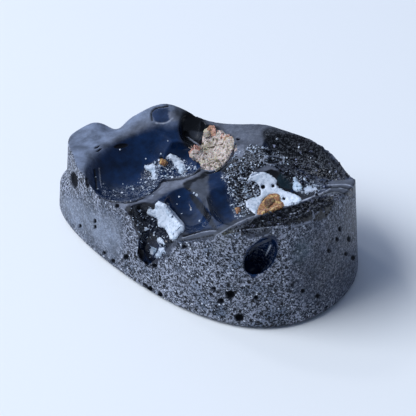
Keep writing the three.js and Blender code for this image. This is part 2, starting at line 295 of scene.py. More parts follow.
# Patches of the skin in painting order: tone, softness of the edge in mm, strength, outline.
SKIN = (
    ("navy", 0.75, 1.0, (
        (86, 168), (98, 156), (138, 134), (160, 121), (180, 118), (188, 148), (199, 154), (199, 168),
        (178, 178), (158, 187), (146, 197), (125, 203), (104, 199), (92, 186))),
    # painted sheen: a pale band along the left rim and over the dome, where the glass would reflect the
    # sky
    ("lavender_sheen", 0.9, 1.0, (
        (66, 170), (70, 140), (84, 112), (100, 108), (112, 122), (150, 102), (172, 102), (180, 110),
        (172, 124), (150, 118), (130, 128), (100, 150), (88, 168), (88, 190), (78, 196))),
    ("navy", 0.14, 0.9, ((151, 114), (156, 108), (167, 108), (172, 114), (168, 121), (157, 122))),
    ("grey", 0.1, 0.8, ((169, 112), (178, 112), (179, 120), (171, 121))),
    ("slate", 0.3, 0.85, ((176, 106), (186, 110), (190, 130), (184, 132), (176, 118))),
    # partly painted sheen: a pale band on the ridge top along the near rim
    ("grey", 0.14, 1.0, (
        (108, 203), (128, 203), (146, 199), (158, 188), (166, 180), (194, 173), (203, 170), (200, 176),
        (184, 187), (160, 194), (138, 205), (120, 208))),
    ("navy", 0.2, 1.0, (
        (150, 207), (162, 196), (172, 190), (184, 187), (192, 192), (205, 207), (217, 226), (206, 231),
        (186, 233), (184, 222), (172, 207), (160, 202))),
    # painted shade: a dark band in the fold between two ridges
    ("black", 0.12, 1.0, (
        (183, 183), (198, 176), (206, 171), (222, 168), (218, 174), (196, 184), (190, 192))),
    # painted shade on a steep slope
    ("black", 0.1, 1.0, ((190, 196), (197, 197), (207, 210), (217, 226), (214, 229), (204, 217))),
    # painted sheen on a ridge top
    ("slate", 0.08, 1.0, (
        (190, 186), (208, 175), (213, 176), (206, 188), (208, 196), (215, 216), (207, 208), (197, 196))),
    ("navy", 0.2, 1.0, (
        (208, 174), (224, 172), (236, 186), (245, 210), (230, 224), (218, 229), (213, 214))),
    ("black", 0.25, 1.0, (
        (222, 168), (236, 152), (250, 145), (266, 148), (290, 160), (298, 174), (290, 192), (262, 214),
        (244, 218), (236, 200), (226, 178))),
    # painted shade inside the far rim of the cream pocket
    ("black", 0.3, 1.0, (
        (182, 113), (195, 112), (222, 124), (206, 133), (204, 141), (192, 151), (181, 140))),
    ("slate", 0.15, 0.5, ((190, 131), (204, 133), (202, 140), (192, 138))),
    # painted sheen: the far flat is made pale where the glass would reflect the sky
    ("worn_and_sheen", 0.25, 0.9, BACK_FLAT),
    ("grey", 0.06, 1.0, ((235, 155), (238, 146), (244, 145), (244, 156))),
    ("black", 0.25, 1.0, FAR_SLOPE),
    ("slate", 0.14, 0.8, (
        (281, 163), (300, 172), (332, 183), (350, 184), (330, 187), (298, 177), (279, 166))),
    ("grey", 0.08, 0.9, ((251, 174), (265, 166), (275, 165), (283, 170), (268, 170), (253, 176))),
    ("teal", 0.08, 1.0, ((277, 179), (280, 174), (285, 174), (292, 184), (290, 189), (281, 187))),
    ("slate", 0.12, 0.9, ((300, 200), (322, 191), (352, 185), (354, 194), (326, 195), (312, 200))),
    ("slate", 0.15, 0.9, (
        (178, 239), (200, 231), (216, 228), (238, 219), (258, 213), (262, 216), (240, 225), (214, 238),
        (190, 242))),
    ("slate", 0.1, 1.0, ((240, 234), (252, 228), (270, 227), (270, 233), (252, 238))),
    ("black", 0.12, 1.0, ((290, 192), (305, 192), (320, 189), (312, 197), (300, 203), (292, 200))),
    ("black", 0.06, 1.0, LEDGE_BAND),
    ("navy", 0.1, 1.0, (
        (273, 234), (255, 243), (245, 252), (243, 262), (247, 272), (254, 278), (260, 270), (270, 263),
        (278, 244))),
    ("deep", 0.1, 1.0, (
        (126, 207), (150, 203), (158, 212), (158, 226), (166, 229), (173, 241), (163, 257), (152, 263),
        (141, 245), (132, 222))),
    ("navy", 0.25, 1.0, ((147, 244), (153, 240), (165, 250), (161, 258), (153, 257))),
    ("slate", 0.15, 0.8, ((164, 256), (172, 242), (185, 234), (175, 247), (163, 262))),
)

# Even tones that thin the grain of the wall: tone, strength, outline.
VEILS = (
    # painted light: the left side of the wall, which faces the key light, is made lighter and its grain
    # thinned
    ("painted_light", 0.72, (
        (60, 196), (80, 197), (100, 208), (118, 216), (126, 238), (118, 262), (98, 250), (78, 234),
        (62, 216))),
    # painted shade: the right side of the wall, away from the key light, is made darker and its grain
    # thinned
    ("slate", 0.55, (
        (305, 232), (330, 216), (354, 206), (360, 240), (358, 285), (325, 304), (296, 300), (292, 262))),
    ("olive", 0.35, ((212, 248), (221, 238), (230, 235), (229, 243), (218, 252))),
    ("sea", 0.3, ((292, 256), (295, 243), (303, 240), (307, 250), (300, 259))),
)

# Fine crests (raised) and cracks (sunk): tone, half width and height in mm, line. The black of the
# cracks is partly painted shade, and the pale crests are partly painted highlights along raised edges.
STROKES = (
    ("black", 0.09, -0.16, (
        (95, 192), (107, 201), (128, 202), (140, 199), (157, 188), (163, 181), (184, 178), (200, 170))),
    ("light", 0.05, 0.05, (
        (216, 236), (240, 222), (265, 213), (286, 207), (302, 201), (320, 194), (330, 189))),
    ("light", 0.05, 0.03, ((234, 231), (265, 228), (294, 226), (313, 221))),
    ("black", 0.12, -0.12, ((184, 236), (205, 230), (217, 229))),
    ("light", 0.06, 0.05, ((183, 238), (202, 232), (216, 231))),
    ("black", 0.07, -0.1, ((182, 241), (205, 237), (214, 235))),
    ("light", 0.05, 0.04, ((313, 211), (314, 222))),
    ("light", 0.045, 0.04, ((314, 215), (318, 212), (324, 211))),
    ("light", 0.045, 0.04, ((290, 214), (296, 213), (301, 209))),
    ("light", 0.04, 0.04, ((99, 168), (101, 186))),
    ("black", 0.1, -0.1, ((95, 170), (97, 188))),
    ("light", 0.06, 0.05, ((234, 142), (231, 154), (223, 165), (212, 171), (206, 170))),
    ("black", 0.06, -0.1, ((235, 144), (232, 156), (223, 168), (210, 173), (204, 172))),
    ("light", 0.06, 0.05, ((186, 136), (201, 147))),
    ("black", 0.09, -0.12, ((152, 120), (151, 113), (156, 108), (168, 106))),
    ("light", 0.07, 0.04, ((156, 123), (166, 123), (173, 118))),
    ("black", 0.1, -0.18, ((252, 176), (260, 173))),
    ("black", 0.08, -0.14, ((277, 185), (287, 192), (297, 195))),
    ("light", 0.035, 0.05, ((322, 190), (332, 187), (342, 189), (352, 192))),
    ("black", 0.11, -0.1, ((324, 193), (336, 191), (352, 196))),
    ("light", 0.035, 0.05, ((328, 185), (346, 185), (353, 187))),
    ("black", 0.11, -0.1, ((318, 188), (342, 187), (352, 190))),
    ("light", 0.035, 0.05, ((330, 196), (338, 195), (346, 198))),
    ("light", 0.08, 0.07, ((263, 161), (267, 157), (280, 157), (284, 161), (273, 165), (265, 163))),
    # painted highlight: a white streak inside the navy hollow
    ("white", 0.055, 0.03, ((271, 245), (266, 255))),
    ("slate", 0.14, 0.05, ((270, 239), (255, 246), (250, 252))),
)

# Gas pits and dents: middle, half width, half height, turn, depth in mm. The pit mask darkens each one
# as painted shade.
PITS = (
    (74, 180, 3.4, 7.5, 8, 0.35), (87, 183, 1.8, 5, 10, 0.25), (141, 255, 3, 6.5, 10, 0.4),
    (230, 295, 4.5, 4, 0, 0.4), (221, 301, 3, 2.6, 0, 0.3), (239, 318, 4.5, 3.6, 0, 0.4),
    (256, 298, 2.5, 2.2, 0, 0.25), (214, 289, 2, 1.8, 0, 0.2), (126, 257, 2.5, 2.5, 0, 0.25),
    (113, 261, 2, 2, 0, 0.2), (104, 253, 1.6, 1.8, 0, 0.2), (95, 221, 1.4, 2.2, 0, 0.2),
    (95, 227, 1.4, 1.8, 0, 0.2), (80, 226, 1.5, 1.8, 0, 0.2), (117, 206, 2, 2, 0, 0.2),
    (340, 229, 1.7, 2.5, 0, 0.2), (337, 239, 1.5, 2, 0, 0.2), (349, 239, 1.7, 2.8, 0, 0.2),
    (329, 251, 1.7, 2, 0, 0.2), (346, 254, 1.6, 1.9, 0, 0.2), (353, 258, 1.8, 2.4, 0, 0.2),
    (303, 291, 2.2, 1.9, 0, 0.22), (318, 296, 2.1, 2, 0, 0.22), (150, 289, 2.2, 2.8, 0, 0.25),
    (160, 295, 2.3, 2.3, 0, 0.25), (154, 266, 3, 2.4, 0, 0.3), (147, 263, 2.2, 2.6, 0, 0.28),
    (131, 213, 2.6, 3, 0, 0.3), (139, 209, 2, 3.6, 0, 0.3), (145, 219, 1.5, 2, 0, 0.2),
    (136, 226, 1.4, 1.6, 0, 0.2), (172, 241, 1.6, 2, 0, 0.2), (184, 247, 2.2, 2, 0, 0.22),
    (97, 147, 3, 0.9, 28, 0.12), (99, 150, 3.2, 1, 30, 0.14), (121, 146, 7, 2.2, 8, 0.16),
    (161, 158, 1.8, 1.5, 0, 0.2), (263, 187, 2.1, 2.1, 0, 0.2), (273, 186, 1.2, 2.2, 0, 0.2),
    (284, 199, 1.2, 1.7, 0, 0.15), (157, 209, 1.4, 2.2, 30, 0.2), (187, 134, 2.4, 3.2, 20, 0.3),
    (238, 139, 2, 1.1, 0, 0.14), (266, 200, 1.2, 1.2, 0, 0.15),
)

# Single bright crystals: middle and size in mm. Their white is partly a painted highlight, placed where
# glints show.
SPARKS = (
    (179, 197, 0.13), (177, 204, 0.12), (191, 210, 0.11), (182, 214, 0.1), (200, 221, 0.16),
    (194, 193, 0.24), (197, 195, 0.2), (127, 188, 0.16), (133, 189, 0.22), (123, 184, 0.15),
    (122, 193, 0.14), (146, 159, 0.2), (161, 154, 0.2), (120, 150, 0.14), (168, 141, 0.14),
    (153, 196, 0.14), (96, 177, 0.16), (98, 189, 0.16), (146, 229, 0.26), (154, 235, 0.15),
    (262, 250, 0.1), (311, 158, 0.2), (299, 147, 0.18), (277, 139, 0.18), (316, 162, 0.14),
    (330, 172, 0.16), (302, 160, 0.12), (287, 158, 0.14), (263, 221, 0.14), (277, 214, 0.1),
)


# ---- settings -------------------------------------------------------------------------------------
def small_length(name, description, default, most, least=0):
    """A property in metres for a length given in millimetres."""
    return FloatProperty(
        name=name, description=description, default=default * MM, min=least * MM, max=most * MM,
        subtype="DISTANCE", unit="LENGTH", precision=6)


def colour_choice(name, description, default):
    return FloatVectorProperty(
        name=name, description=description, default=(*default, 1), size=4, min=0, max=1,
        subtype="COLOR")


def number_of(name, description, default, most):
    return IntProperty(name=name, description=description, default=default, min=0, max=most)


class StoneSettings(PropertyGroup):
    """Size of the stone's facets and colours of its surfaces."""

    facet: small_length(
        "Facet", "Edge length of the wall; the glassy top has half of it", 0.205, 1, 0.05)
    ripple: small_length("Ripple", "Height of the waves in the glassy skin", 0.035, 0.3)
    roughness_height: small_length(
        "Chips", "Height of the chipped ground in the druzy hollows", 0.09, 0.4)
    pit_count: number_of(
        "Small pits", "How many small gas pits the wall has besides the named ones", 260, 800)
    ground_dark: colour_choice(
        "Ground, dark", "Dark grains of the ground wall", (0.012, 0.015, 0.024))
    ground_light: colour_choice(
        "Ground, light", "Light grains of the ground wall", (0.3, 0.33, 0.42))


class LiningSettings(PropertyGroup):
    """Thickness of the films, number of the crystals in the hollows, and their colours."""

    film: small_length("Film", "Thickness of the mineral films", 0.12, 0.5)
    cream_bed: small_length(
        "Cream bed", "Thickness of the bed that carries the cream crystals", 0.36, 1)
    cream_crystals: number_of(
        "Cream crystals", "How many crystals the cream pocket holds", 300, 3000)
    pale_crystals: number_of(
        "Pale crystals", "How many pale crystals lie in one hollow", 260, 3000)
    black_crystals: number_of(
        "Black crystals", "How many black crystals lie in one hollow", 750, 4000)
    white: colour_choice("White", "Colour of the white film", (0.56, 0.62, 0.72))
    blue: colour_choice("Pale blue", "Colour of the blue film", (0.42, 0.53, 0.66))
    rust: colour_choice("Rust", "Colour of the iron stains", (0.34, 0.15, 0.065))
    cream: colour_choice("Cream", "Colour of the cream crystals", (0.52, 0.455, 0.44))
    olive: colour_choice("Olive", "Colour of the stained cream crystals", (0.42, 0.38, 0.3))


class StageSettings(PropertyGroup):
    """Floor, light and camera."""

    floor_size: FloatProperty(
        name="Floor", description="Side of the square floor", default=1.6, min=0.1, max=10,
        subtype="DISTANCE", unit="LENGTH",
    )
    floor_colour: colour_choice("Floor colour", "Colour of the floor", (0.76, 0.79, 0.82))
    key_power: FloatProperty(
        name="Key light", description="Power of the soft light on the left", default=4.9, min=0,
        max=20, subtype="POWER", unit="POWER",
    )
    sky: FloatProperty(
        name="Sky", description="Strength of the light from all round", default=1.0, min=0, max=5,
    )
    distance: FloatProperty(
        name="Camera distance", description="Distance from the camera to the point it looks at",
        default=DISTANCE * MM, min=0.05, max=2, subtype="DISTANCE", unit="LENGTH",
    )
    azimuth: FloatProperty(
        name="Azimuth", description="Turn of the camera round the stone",
        default=math.radians(AZIMUTH), subtype="ANGLE", unit="ROTATION",
    )
    elevation: FloatProperty(
        name="Elevation", description="Height of the camera above the horizon",
        default=math.radians(ELEVATION), subtype="ANGLE", unit="ROTATION",
    )


# ---- the stone's surface as a formula -------------------------------------------------------------
def smooth(low, high, value):
    t = np.clip((value - low) / (high - low), 0.0, 1.0)
    return t * t * (3.0 - 2.0 * t)


def smooth_max(a, b, softness):
    h = np.clip(0.5 + 0.5 * (a - b) / softness, 0.0, 1.0)
    return b * (1.0 - h) + a * h + softness * h * (1.0 - h)


def turned(x, y, middle, turn):
    """Places measured from a middle, along axes turned by an angle in degrees."""
    c, s = math.cos(math.radians(turn)), math.sin(math.radians(turn))
    x, y = x - middle[0], y - middle[1]
    return x * c + y * s, y * c - x * s


def turn_matrix(turn):
    z, x, y = (math.radians(a) for a in turn)
    spin = Matrix.Rotation(z, 3, "Z") @ Matrix.Rotation(x, 3, "X") @ Matrix.Rotation(y, 3, "Y")
    return np.array(spin)


def ellipsoid(points, at, radii, turn):
    """Approximate distance to an ellipsoid, negative inside."""
    local = (points - np.array(at)) @ turn_matrix(turn)
    near = np.linalg.norm(local / radii, axis=1) + 1e-9
    slope = np.linalg.norm(local / np.square(radii), axis=1) + 1e-9
    return near * (near - 1.0) / slope


class PlanTable:
    """Distance to the plan outline, looked up on a fine grid."""

    def __init__(self):
        self.step = step = 0.1
        self.low = np.array((-18.0, -12.0))
        turn = np.linspace(0, 2 * np.pi, 900, endpoint=False)
        edge = np.stack(
            (
                CENTRE[0] + HALF_LENGTH * np.cos(turn) + BLUNT * np.cos(2 * turn)
                + TIP_ROUND * np.cos(3 * turn),
                CENTRE[1] + HALF_WIDTH * np.sin(turn) + PEAR * np.sin(2 * turn)
                + LEAN * np.cos(turn) + BULGE * np.sin(3 * turn),
            ),
            -1,
        )
        along = np.roll(edge, -1, 0) - np.roll(edge, 1, 0)
        out = np.stack((along[:, 1], -along[:, 0]), -1)
        out /= np.linalg.norm(out, axis=1)[:, None]
        xs = np.arange(self.low[0], -self.low[0] + step, step)
        ys = np.arange(self.low[1], -self.low[1] + step, step)
        self.table = np.empty((len(xs), len(ys)))
        for i, x in enumerate(xs):
            row = np.stack((np.full(len(ys), x), ys), -1)
            gap = row[:, None, :] - edge[None, :, :]
            far = np.einsum("ijk,ijk->ij", gap, gap)
            near = far.argmin(1)
            pick = gap[np.arange(len(ys)), near]
            side = np.sign(np.einsum("ij,ij->i", pick, out[near]))
            self.table[i] = side * np.sqrt(far[np.arange(len(ys)), near])

    def __call__(self, plan):
        spot = (plan - self.low) / self.step
        cell = np.clip(spot.astype(int), 0, np.array(self.table.shape) - 2)
        u, v = (spot - cell).T
        i, j = cell.T
        t = self.table
        low = t[i, j] * (1 - u) + t[i + 1, j] * u
        high = t[i, j + 1] * (1 - u) + t[i + 1, j + 1] * u
        return low * (1 - v) + high * v


def top_height(plan):
    x, y = plan.T
    z = TOP_PLANE[0] + TOP_PLANE[1] * x + TOP_PLANE[2] * y
    for at_x, at_y, wide, deep, turn, height in SWELLS:
        u, v = turned(x, y, (at_x, at_y), turn)
        u, v = u / wide, v / deep
        z = z + height * np.exp(-u * u - v * v)
    return z


def wall_distance(points, table):
    z = points[:, 2]
    bearing = np.degrees(np.arctan2(points[:, 1], points[:, 0])) % 360
    start, full, fade, end = SHOULDER["bearings"]
    share = smooth(start, full, bearing) - smooth(fade, end, bearing)
    step = SHOULDER["depth"] * share * smooth(SHOULDER["low"], SHOULDER["high"], z)
    edge = table(points[:, :2])
    wall = (edge + TAPER * z + step) * WALL_SHARE
    return np.maximum(wall, (edge - z + CHAMFER) * BEVEL_SHARE)


def within_reach(points, centre, reach):
    """The numbers of the points in a box round a centre."""
    return np.nonzero((np.abs(points - np.array(centre)) < reach).all(1))[0]


class Carving:
    """The hollows, each with the points near it, so that only those are worked out."""

    def __init__(self, points):
        self.hollows = [
            (within_reach(points, at, max(radii) + HOLLOW_REACH), at, radii, turn, softness)
            for at, radii, turn, softness in HOLLOWS
        ]

    def depth(self, points):
        depth = np.full(len(points), NO_HOLLOW)
        for near, at, radii, turn, softness in self.hollows:
            cut = -ellipsoid(points[near], at, radii, turn)
            depth[near] = smooth_max(depth[near], cut, softness)
        return depth


def above_top(points):
    """Height above the uncut top, negative under it."""
    return (points[:, 2] - top_height(points[:, :2])) * TOP_SHARE


def stone_distance(points, table, carving):
    """Distance to the finished surface, negative inside the stone."""
    body = smooth_max(wall_distance(points, table), above_top(points), EDGE_SOFT)
    body = np.maximum(body, -points[:, 2])
    middle, reach, extra = WORN_RIM
    gap = np.linalg.norm(points[:, :2] - np.array(middle), axis=1) / reach
    return smooth_max(body, carving.depth(points), RIM_SOFT + extra * np.exp(-gap**4))


def slope_of(distance, points):
    step = 0.02
    here = distance(points)
    slope = np.empty_like(points)
    for axis in range(3):
        moved = points.copy()
        moved[:, axis] += step
        slope[:, axis] = (distance(moved) - here) / step
    return here, slope


def settle(points, table, rounds):
    """Moves points onto the surface where the distance is zero."""
    carving = Carving(points)
    for _ in range(rounds):
        here, slope = slope_of(lambda spots: stone_distance(spots, table, carving), points)
        size = np.maximum((slope**2).sum(1), 0.25)
        points = points - slope * np.clip(here / size, -LARGEST_MOVE, LARGEST_MOVE)[:, None]
    return points, carving


# ---- the camera's frame ---------------------------------------------------------------------------
def backward(turn, lift):
    """Direction from the aim to a camera at this turn and height."""
    return (
        math.sin(turn) * math.cos(lift), -math.cos(turn) * math.cos(lift), math.sin(lift))


def view_axes():
    """Right, up and back of the camera, and its place, in millimetres."""
    turn = math.radians(AZIMUTH)
    back = np.array(backward(turn, math.radians(ELEVATION)))
    right = np.array((math.cos(turn), math.sin(turn), 0.0))
    return right, np.cross(back, right), back, np.array(AIM) + back * DISTANCE


RIGHT, UP, BACK, EYE = view_axes()


def sight(points):
    """Where points show in the frame, in pixels across and down."""
    gap = points - EYE
    far = -gap @ BACK
    across, down = FOCAL * (gap @ RIGHT) / far, FOCAL * (gap @ UP) / far
    return np.stack((FRAME / 2 + across, FRAME / 2 - down), -1)


def sight_ray(u, v):
    """Direction from the camera through a pixel."""
    return Vector(RIGHT * (u - FRAME / 2) + UP * (FRAME / 2 - v) - BACK * FOCAL).normalized()


def curve(corners, closed=True):
    """A smooth line through the corners."""
    steps = 4
    spots = np.array(corners, float)
    if len(spots) < 3:
        return spots
    count = len(spots)
    made = []
    for i in range(count if closed else count - 1):
        numbers = (i - 1, i, i + 1, i + 2)
        if closed:
            a, b, c, d = (spots[n % count] for n in numbers)
        else:
            a, b, c, d = (spots[min(max(n, 0), count - 1)] for n in numbers)
        for k in range(steps):
            t = k / steps
            made.append(0.5 * (2 * b + (c - a) * t + (2 * a - 5 * b + 4 * c - d) * t**2
                               + (3 * b - a - 3 * c + d) * t**3))
    if not closed:
        made.append(spots[-1])
    return np.array(made)


def line_distance(spots, line):
    """Distance in millimetres from pixel spots to a line."""
    near = np.full(len(spots), 99.0)
    for a, b in zip(line[:-1], line[1:]):
        edge = b - a
        share = np.clip(((spots - a) @ edge) / max(edge @ edge, 1e-9), 0, 1)
        near = np.minimum(near, np.linalg.norm(spots - a - share[:, None] * edge, axis=1))
    return near * PIXEL


def patch_depth(spots, corners):
    """How far pixel spots lie inside a patch, in millimetres; negative outside."""
    edge = curve(corners)
    near = line_distance(spots, np.vstack((edge, edge[:1])))
    inside = np.zeros(len(spots), bool)
    for a, b in zip(edge, np.roll(edge, -1, 0)):
        crosses = (a[1] > spots[:, 1]) != (b[1] > spots[:, 1])
        rise = b[1] - a[1] if b[1] != a[1] else 1e-9
        inside ^= crosses & (spots[:, 0] < a[0] + (spots[:, 1] - a[1]) * (b[0] - a[0]) / rise)
    return np.where(inside, near, -near)


def around(spots, corners, margin):
    """The numbers of the pixel spots in a box round some corners."""
    corners = np.array(corners, float)
    low, high = corners.min(0) - margin, corners.max(0) + margin
    return np.nonzero(((spots > low) & (spots < high)).all(1))[0]


def oval_share(plan, oval):
    """1 in the middle of a plan ellipse, falling to 0 outside it."""
    middle, (wide, deep), turn = oval
    u, v = turned(*plan.T, middle, turn)
    return 1 - smooth(0.9, 1.15, np.hypot(u / wide, v / deep))


def ripple(points, size, seed=0.0, octaves=3):
    """Smooth noise from about -1 to 1 at each point; size is the width of one wave."""
    shift = Vector((seed, seed * 0.7, -seed))
    return np.array(
        [noise.fractal(Vector(p) / size + shift, 1.0, 2.0, octaves) for p in points]
    )


def cells(points, size, seed=0.0):
    """Distance to the nearest of scattered seeds, in cell widths, at each point."""
    shift = Vector((seed, -seed, seed * 0.6))
    return np.array([noise.voronoi(Vector(p) / size + shift)[0][0] for p in points])


class Skin:
    """Colour, matteness and height of the stone's surface, laid on vertex by vertex."""

    def __init__(self, points, seen, ground, under_top):
        self.spots = sight(points)
        self.seen = seen
        self.ground = ground
        # The uncut top starts in the pale worn tone, which is partly painted sheen; the floors of the
        # hollows start in the dark navy glass.
        floor = smooth(0.0, 0.3, under_top)
        worn_and_sheen, glass = TONES["worn_and_sheen"], TONES["navy"]
        self.colour = np.outer(1 - floor, worn_and_sheen[0]) + np.outer(floor, glass[0])
        self.matte = worn_and_sheen[1] * (1 - floor) + glass[1] * floor
        self.lift = np.zeros(len(points))
        self.pit = np.zeros(len(points))
        self.chipped = np.zeros(len(points))
        self.wander = WAVER_REACH * ripple(points, WAVER, 6.0, 3)

    def lay(self, near, tone, share, keeps_wall):
        colour, matte = TONES[tone]
        share = share * self.seen[near]
        self.colour[near] += (np.array(colour) - self.colour[near]) * share[:, None]
        self.matte[near] += (matte - self.matte[near]) * share
        if not keeps_wall:
            self.ground[near] *= 1 - share

    def patch(self, tone, soft, strength, corners):
        near = around(self.spots, corners, 10)
        depth = patch_depth(self.spots[near], corners) + self.wander[near]
        self.lay(near, tone, strength * smooth(-soft, soft, depth), soft > 0.16)

    def veil(self, tone, strength, corners):
        near = around(self.spots, corners, 12)
        depth = patch_depth(self.spots[near], corners) + self.wander[near]
        self.lay(near, tone, strength * smooth(-VEIL_SOFT, VEIL_SOFT, depth), False)

    def stroke(self, tone, half, height, corners):
        near = around(self.spots, corners, 5)
        gap = line_distance(self.spots[near], curve(corners, closed=False))
        gap = gap + 0.25 * self.wander[near]
        share = 1 - smooth(0.5 * half, 1.3 * half, gap)
        self.lay(near, tone, share, False)
        self.lift[near] += height * share * self.seen[near]

    def dent(self, u, v, wide, tall, turn, depth):
        near = around(self.spots, ((u, v),), 1.5 * max(wide, tall) + 1)
        across, down = turned(*self.spots[near].T, (u, v), -turn)
        reach = np.hypot(across / wide, down / tall)
        self.sink(near, reach, depth, self.seen[near])

    def sink(self, near, reach, depth, share):
        """A bowl where the reach is under 1, darkened through the pit mask as painted shade."""
        self.lift[near] -= depth * np.sqrt(np.clip(1 - reach**2, 0, 1)) * share
        self.pit[near] = np.maximum(self.pit[near], (1 - smooth(0.9, 1.25, reach)) * share)

    def chip(self, share):
        self.chipped = np.maximum(self.chipped, share)


def seen_from_eye(mesh, points, normals):
    """1 for the vertices that the camera sees, else 0."""
    bm = opened(mesh)
    tree = BVHTree.FromBMesh(bm)
    bm.free()
    seen = np.zeros(len(points))
    toward = EYE - points
    toward /= np.linalg.norm(toward, axis=1)[:, None]
    facing = np.nonzero((toward * normals).sum(1) > GRAZING)[0]
    for i in facing:
        start = Vector(points[i] + (normals[i] + toward[i]) * CLEAR_OF_SKIN)
        if tree.ray_cast(start, Vector(toward[i]))[0] is None:
            seen[i] = 1.0
    return seen


# ---- mesh helpers ---------------------------------------------------------------------------------
def read_vectors(items, name):
    flat = np.empty(len(items) * 3, np.float32)
    items.foreach_get(name, flat)
    return flat.reshape(-1, 3).astype(float)


def coordinates(mesh):
    return read_vectors(mesh.vertices, "co")


def opened(mesh):
    """A mesh opened for editing."""
    bm = bmesh.new()
    bm.from_mesh(mesh)
    return bm


def write_coordinates(mesh, points):
    mesh.vertices.foreach_set("co", points.astype(np.float32).ravel())
    mesh.update()


def write_mask(mesh, name, values):
    layer = mesh.attributes.new(name, "FLOAT", "POINT")
    layer.data.foreach_set("value", values.astype(np.float32))


def write_tone(mesh, colours):
    layer = mesh.attributes.new("tone", "FLOAT_COLOR", "POINT")
    solid = np.hstack((colours, np.ones((len(colours), 1))))
    layer.data.foreach_set("color", solid.astype(np.float32).ravel())


def make_object(name, bm, material, smooth_faces=False):
    """Turns a mesh in millimetres into a finished piece in metres."""
    mesh = bpy.data.meshes.new(name)
    bm.transform(TO_METRES)
    bm.to_mesh(mesh)
    bm.free()
    mesh.polygons.foreach_set("use_smooth", [smooth_faces] * len(mesh.polygons))
    mesh.materials.append(material)
    piece = bpy.data.objects.new(name, mesh)
    bpy.context.scene.collection.objects.link(piece)
    return piece


def stone_mesh():
    """The finished stone as a mesh in millimetres."""
    bm = opened(bpy.data.objects["lava_stone"].data)
    bm.transform(TO_METRES.inverted())
    bm.normal_update()
    return bm


def remesh_copy(node, facet):
    """A merged copy of a CAD node, remeshed to even facets, in millimetres."""
    bm = opened(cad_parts[node].data)
    bm.transform(TO_METRES.inverted())
    bmesh.ops.remove_doubles(bm, verts=bm.verts, dist=1e-4)
    mesh = bpy.data.meshes.new(node + "_copy")
    bm.to_mesh(mesh)
    bm.free()
    holder = bpy.data.objects.new(node + "_copy", mesh)
    bpy.context.scene.collection.objects.link(holder)
    grid = holder.modifiers.new("Even facets", "REMESH")
    grid.mode = "VOXEL"
    grid.voxel_size = facet
    graph = bpy.context.evaluated_depsgraph_get()
    result = bpy.data.meshes.new_from_object(holder.evaluated_get(graph))
    bpy.data.objects.remove(holder)
    bpy.data.meshes.remove(mesh)
    return result


def refine(mesh, chosen):
    """Cuts the faces between the chosen vertices in four."""
    bm = opened(mesh)
    edges = [e for e in bm.edges if chosen[e.verts[0].index] and chosen[e.verts[1].index]]
    bmesh.ops.subdivide_edges(bm, edges=edges, cuts=1, use_grid_fill=True)
    bm.to_mesh(mesh)
    bm.free()


class Ground:
    """The stone under a lining: finds where a line of sight or a plumb line meets it."""

    def __init__(self):
        bm = stone_mesh()
        self.tree = BVHTree.FromBMesh(bm)
        bm.free()

    def along_sight(self, u, v):
        return self.tree.ray_cast(Vector(EYE), sight_ray(u, v))[:2]

    def below(self, x, y):
        return self.tree.ray_cast(Vector((x, y, ABOVE_ALL)), Vector((0, 0, -1)))[:2]


def spots_in_patch(ground, corners, count, draw, wander=0.0):
    """Scattered spots on the stone inside a patch, with the stone's normal and the depth there."""
    edge = np.array(corners, float)
    low, high = edge.min(0) - wander / PIXEL, edge.max(0) + wander / PIXEL
    tries = np.array(
        [(draw.uniform(low[0], high[0]), draw.uniform(low[1], high[1])) for _ in range(count * 4)]
    )
    found = []
    for (u, v), depth in zip(tries, patch_depth(tries, corners)):
        if depth > -draw.random() * wander:
            spot, normal = ground.along_sight(u, v)
            if spot is not None:
                found.append((spot, normal, depth))
    return found[:count]


def spots_in_oval(ground, oval, count, draw):
    """Scattered spots on the stone inside a plan ellipse."""
    (at_x, at_y), (wide, deep), turn = oval
    c, s = math.cos(math.radians(turn)), math.sin(math.radians(turn))
    found = []
    for _ in range(count):
        reach, bearing = math.sqrt(draw.random()), draw.uniform(0, 2 * math.pi)
        u, v = wide * reach * math.cos(bearing), deep * reach * math.sin(bearing)
        spot, normal = ground.below(at_x + u * c - v * s, at_y + u * s + v * c)
        if spot is not None and spot.z > HOLLOWS_ABOVE:
            found.append((spot, normal, 0.0))
    return found


def stretch(draw, ranges):
    """Scales the three axes by random amounts."""
    return Matrix.Diagonal((*(draw.uniform(*ends) for ends in ranges), 1))


def crystal(bm, spot, normal, size, kind, draw, tint, tilt=0.8):
    """One small crystal stood on the stone; its tint is kept on its vertices."""
    lean = Vector((draw.gauss(0, 1), draw.gauss(0, 1), draw.gauss(0, 1))) * tilt * 0.5
    up = (Vector(normal) + lean).normalized()
    stand = up.to_track_quat("Z", "Y").to_matrix().to_4x4()
    spin = Matrix.Rotation(draw.uniform(0, math.pi), 4, "Z")
    place = Matrix.Translation(spot) @ stand @ spin
    if kind == "point":
        tall = size * draw.uniform(*POINT_HEIGHT)
        made = bmesh.ops.create_cone(
            bm, cap_ends=True, segments=6, radius1=size * 0.5,
            radius2=size * draw.uniform(*POINT_TIP), depth=tall,
            matrix=place @ Matrix.Translation((0, 0, tall * 0.3)),
        )
    elif kind == "block":
        slant = [draw.uniform(-BLOCK_SHEAR, BLOCK_SHEAR) for _ in range(2)]
        shear = Matrix.Shear("XY", 4, slant)
        scale = stretch(draw, BLOCK_AXES)
        made = bmesh.ops.create_cube(bm, size=size, matrix=place @ shear @ scale)
    else:
        flat = stretch(draw, BEAD_AXES)
        made = bmesh.ops.create_icosphere(
            bm, subdivisions=1, radius=size * 0.5, matrix=place @ flat)
    layer = bm.verts.layers.float.get("tint")
    for vert in made["verts"]:
        vert[layer] = tint


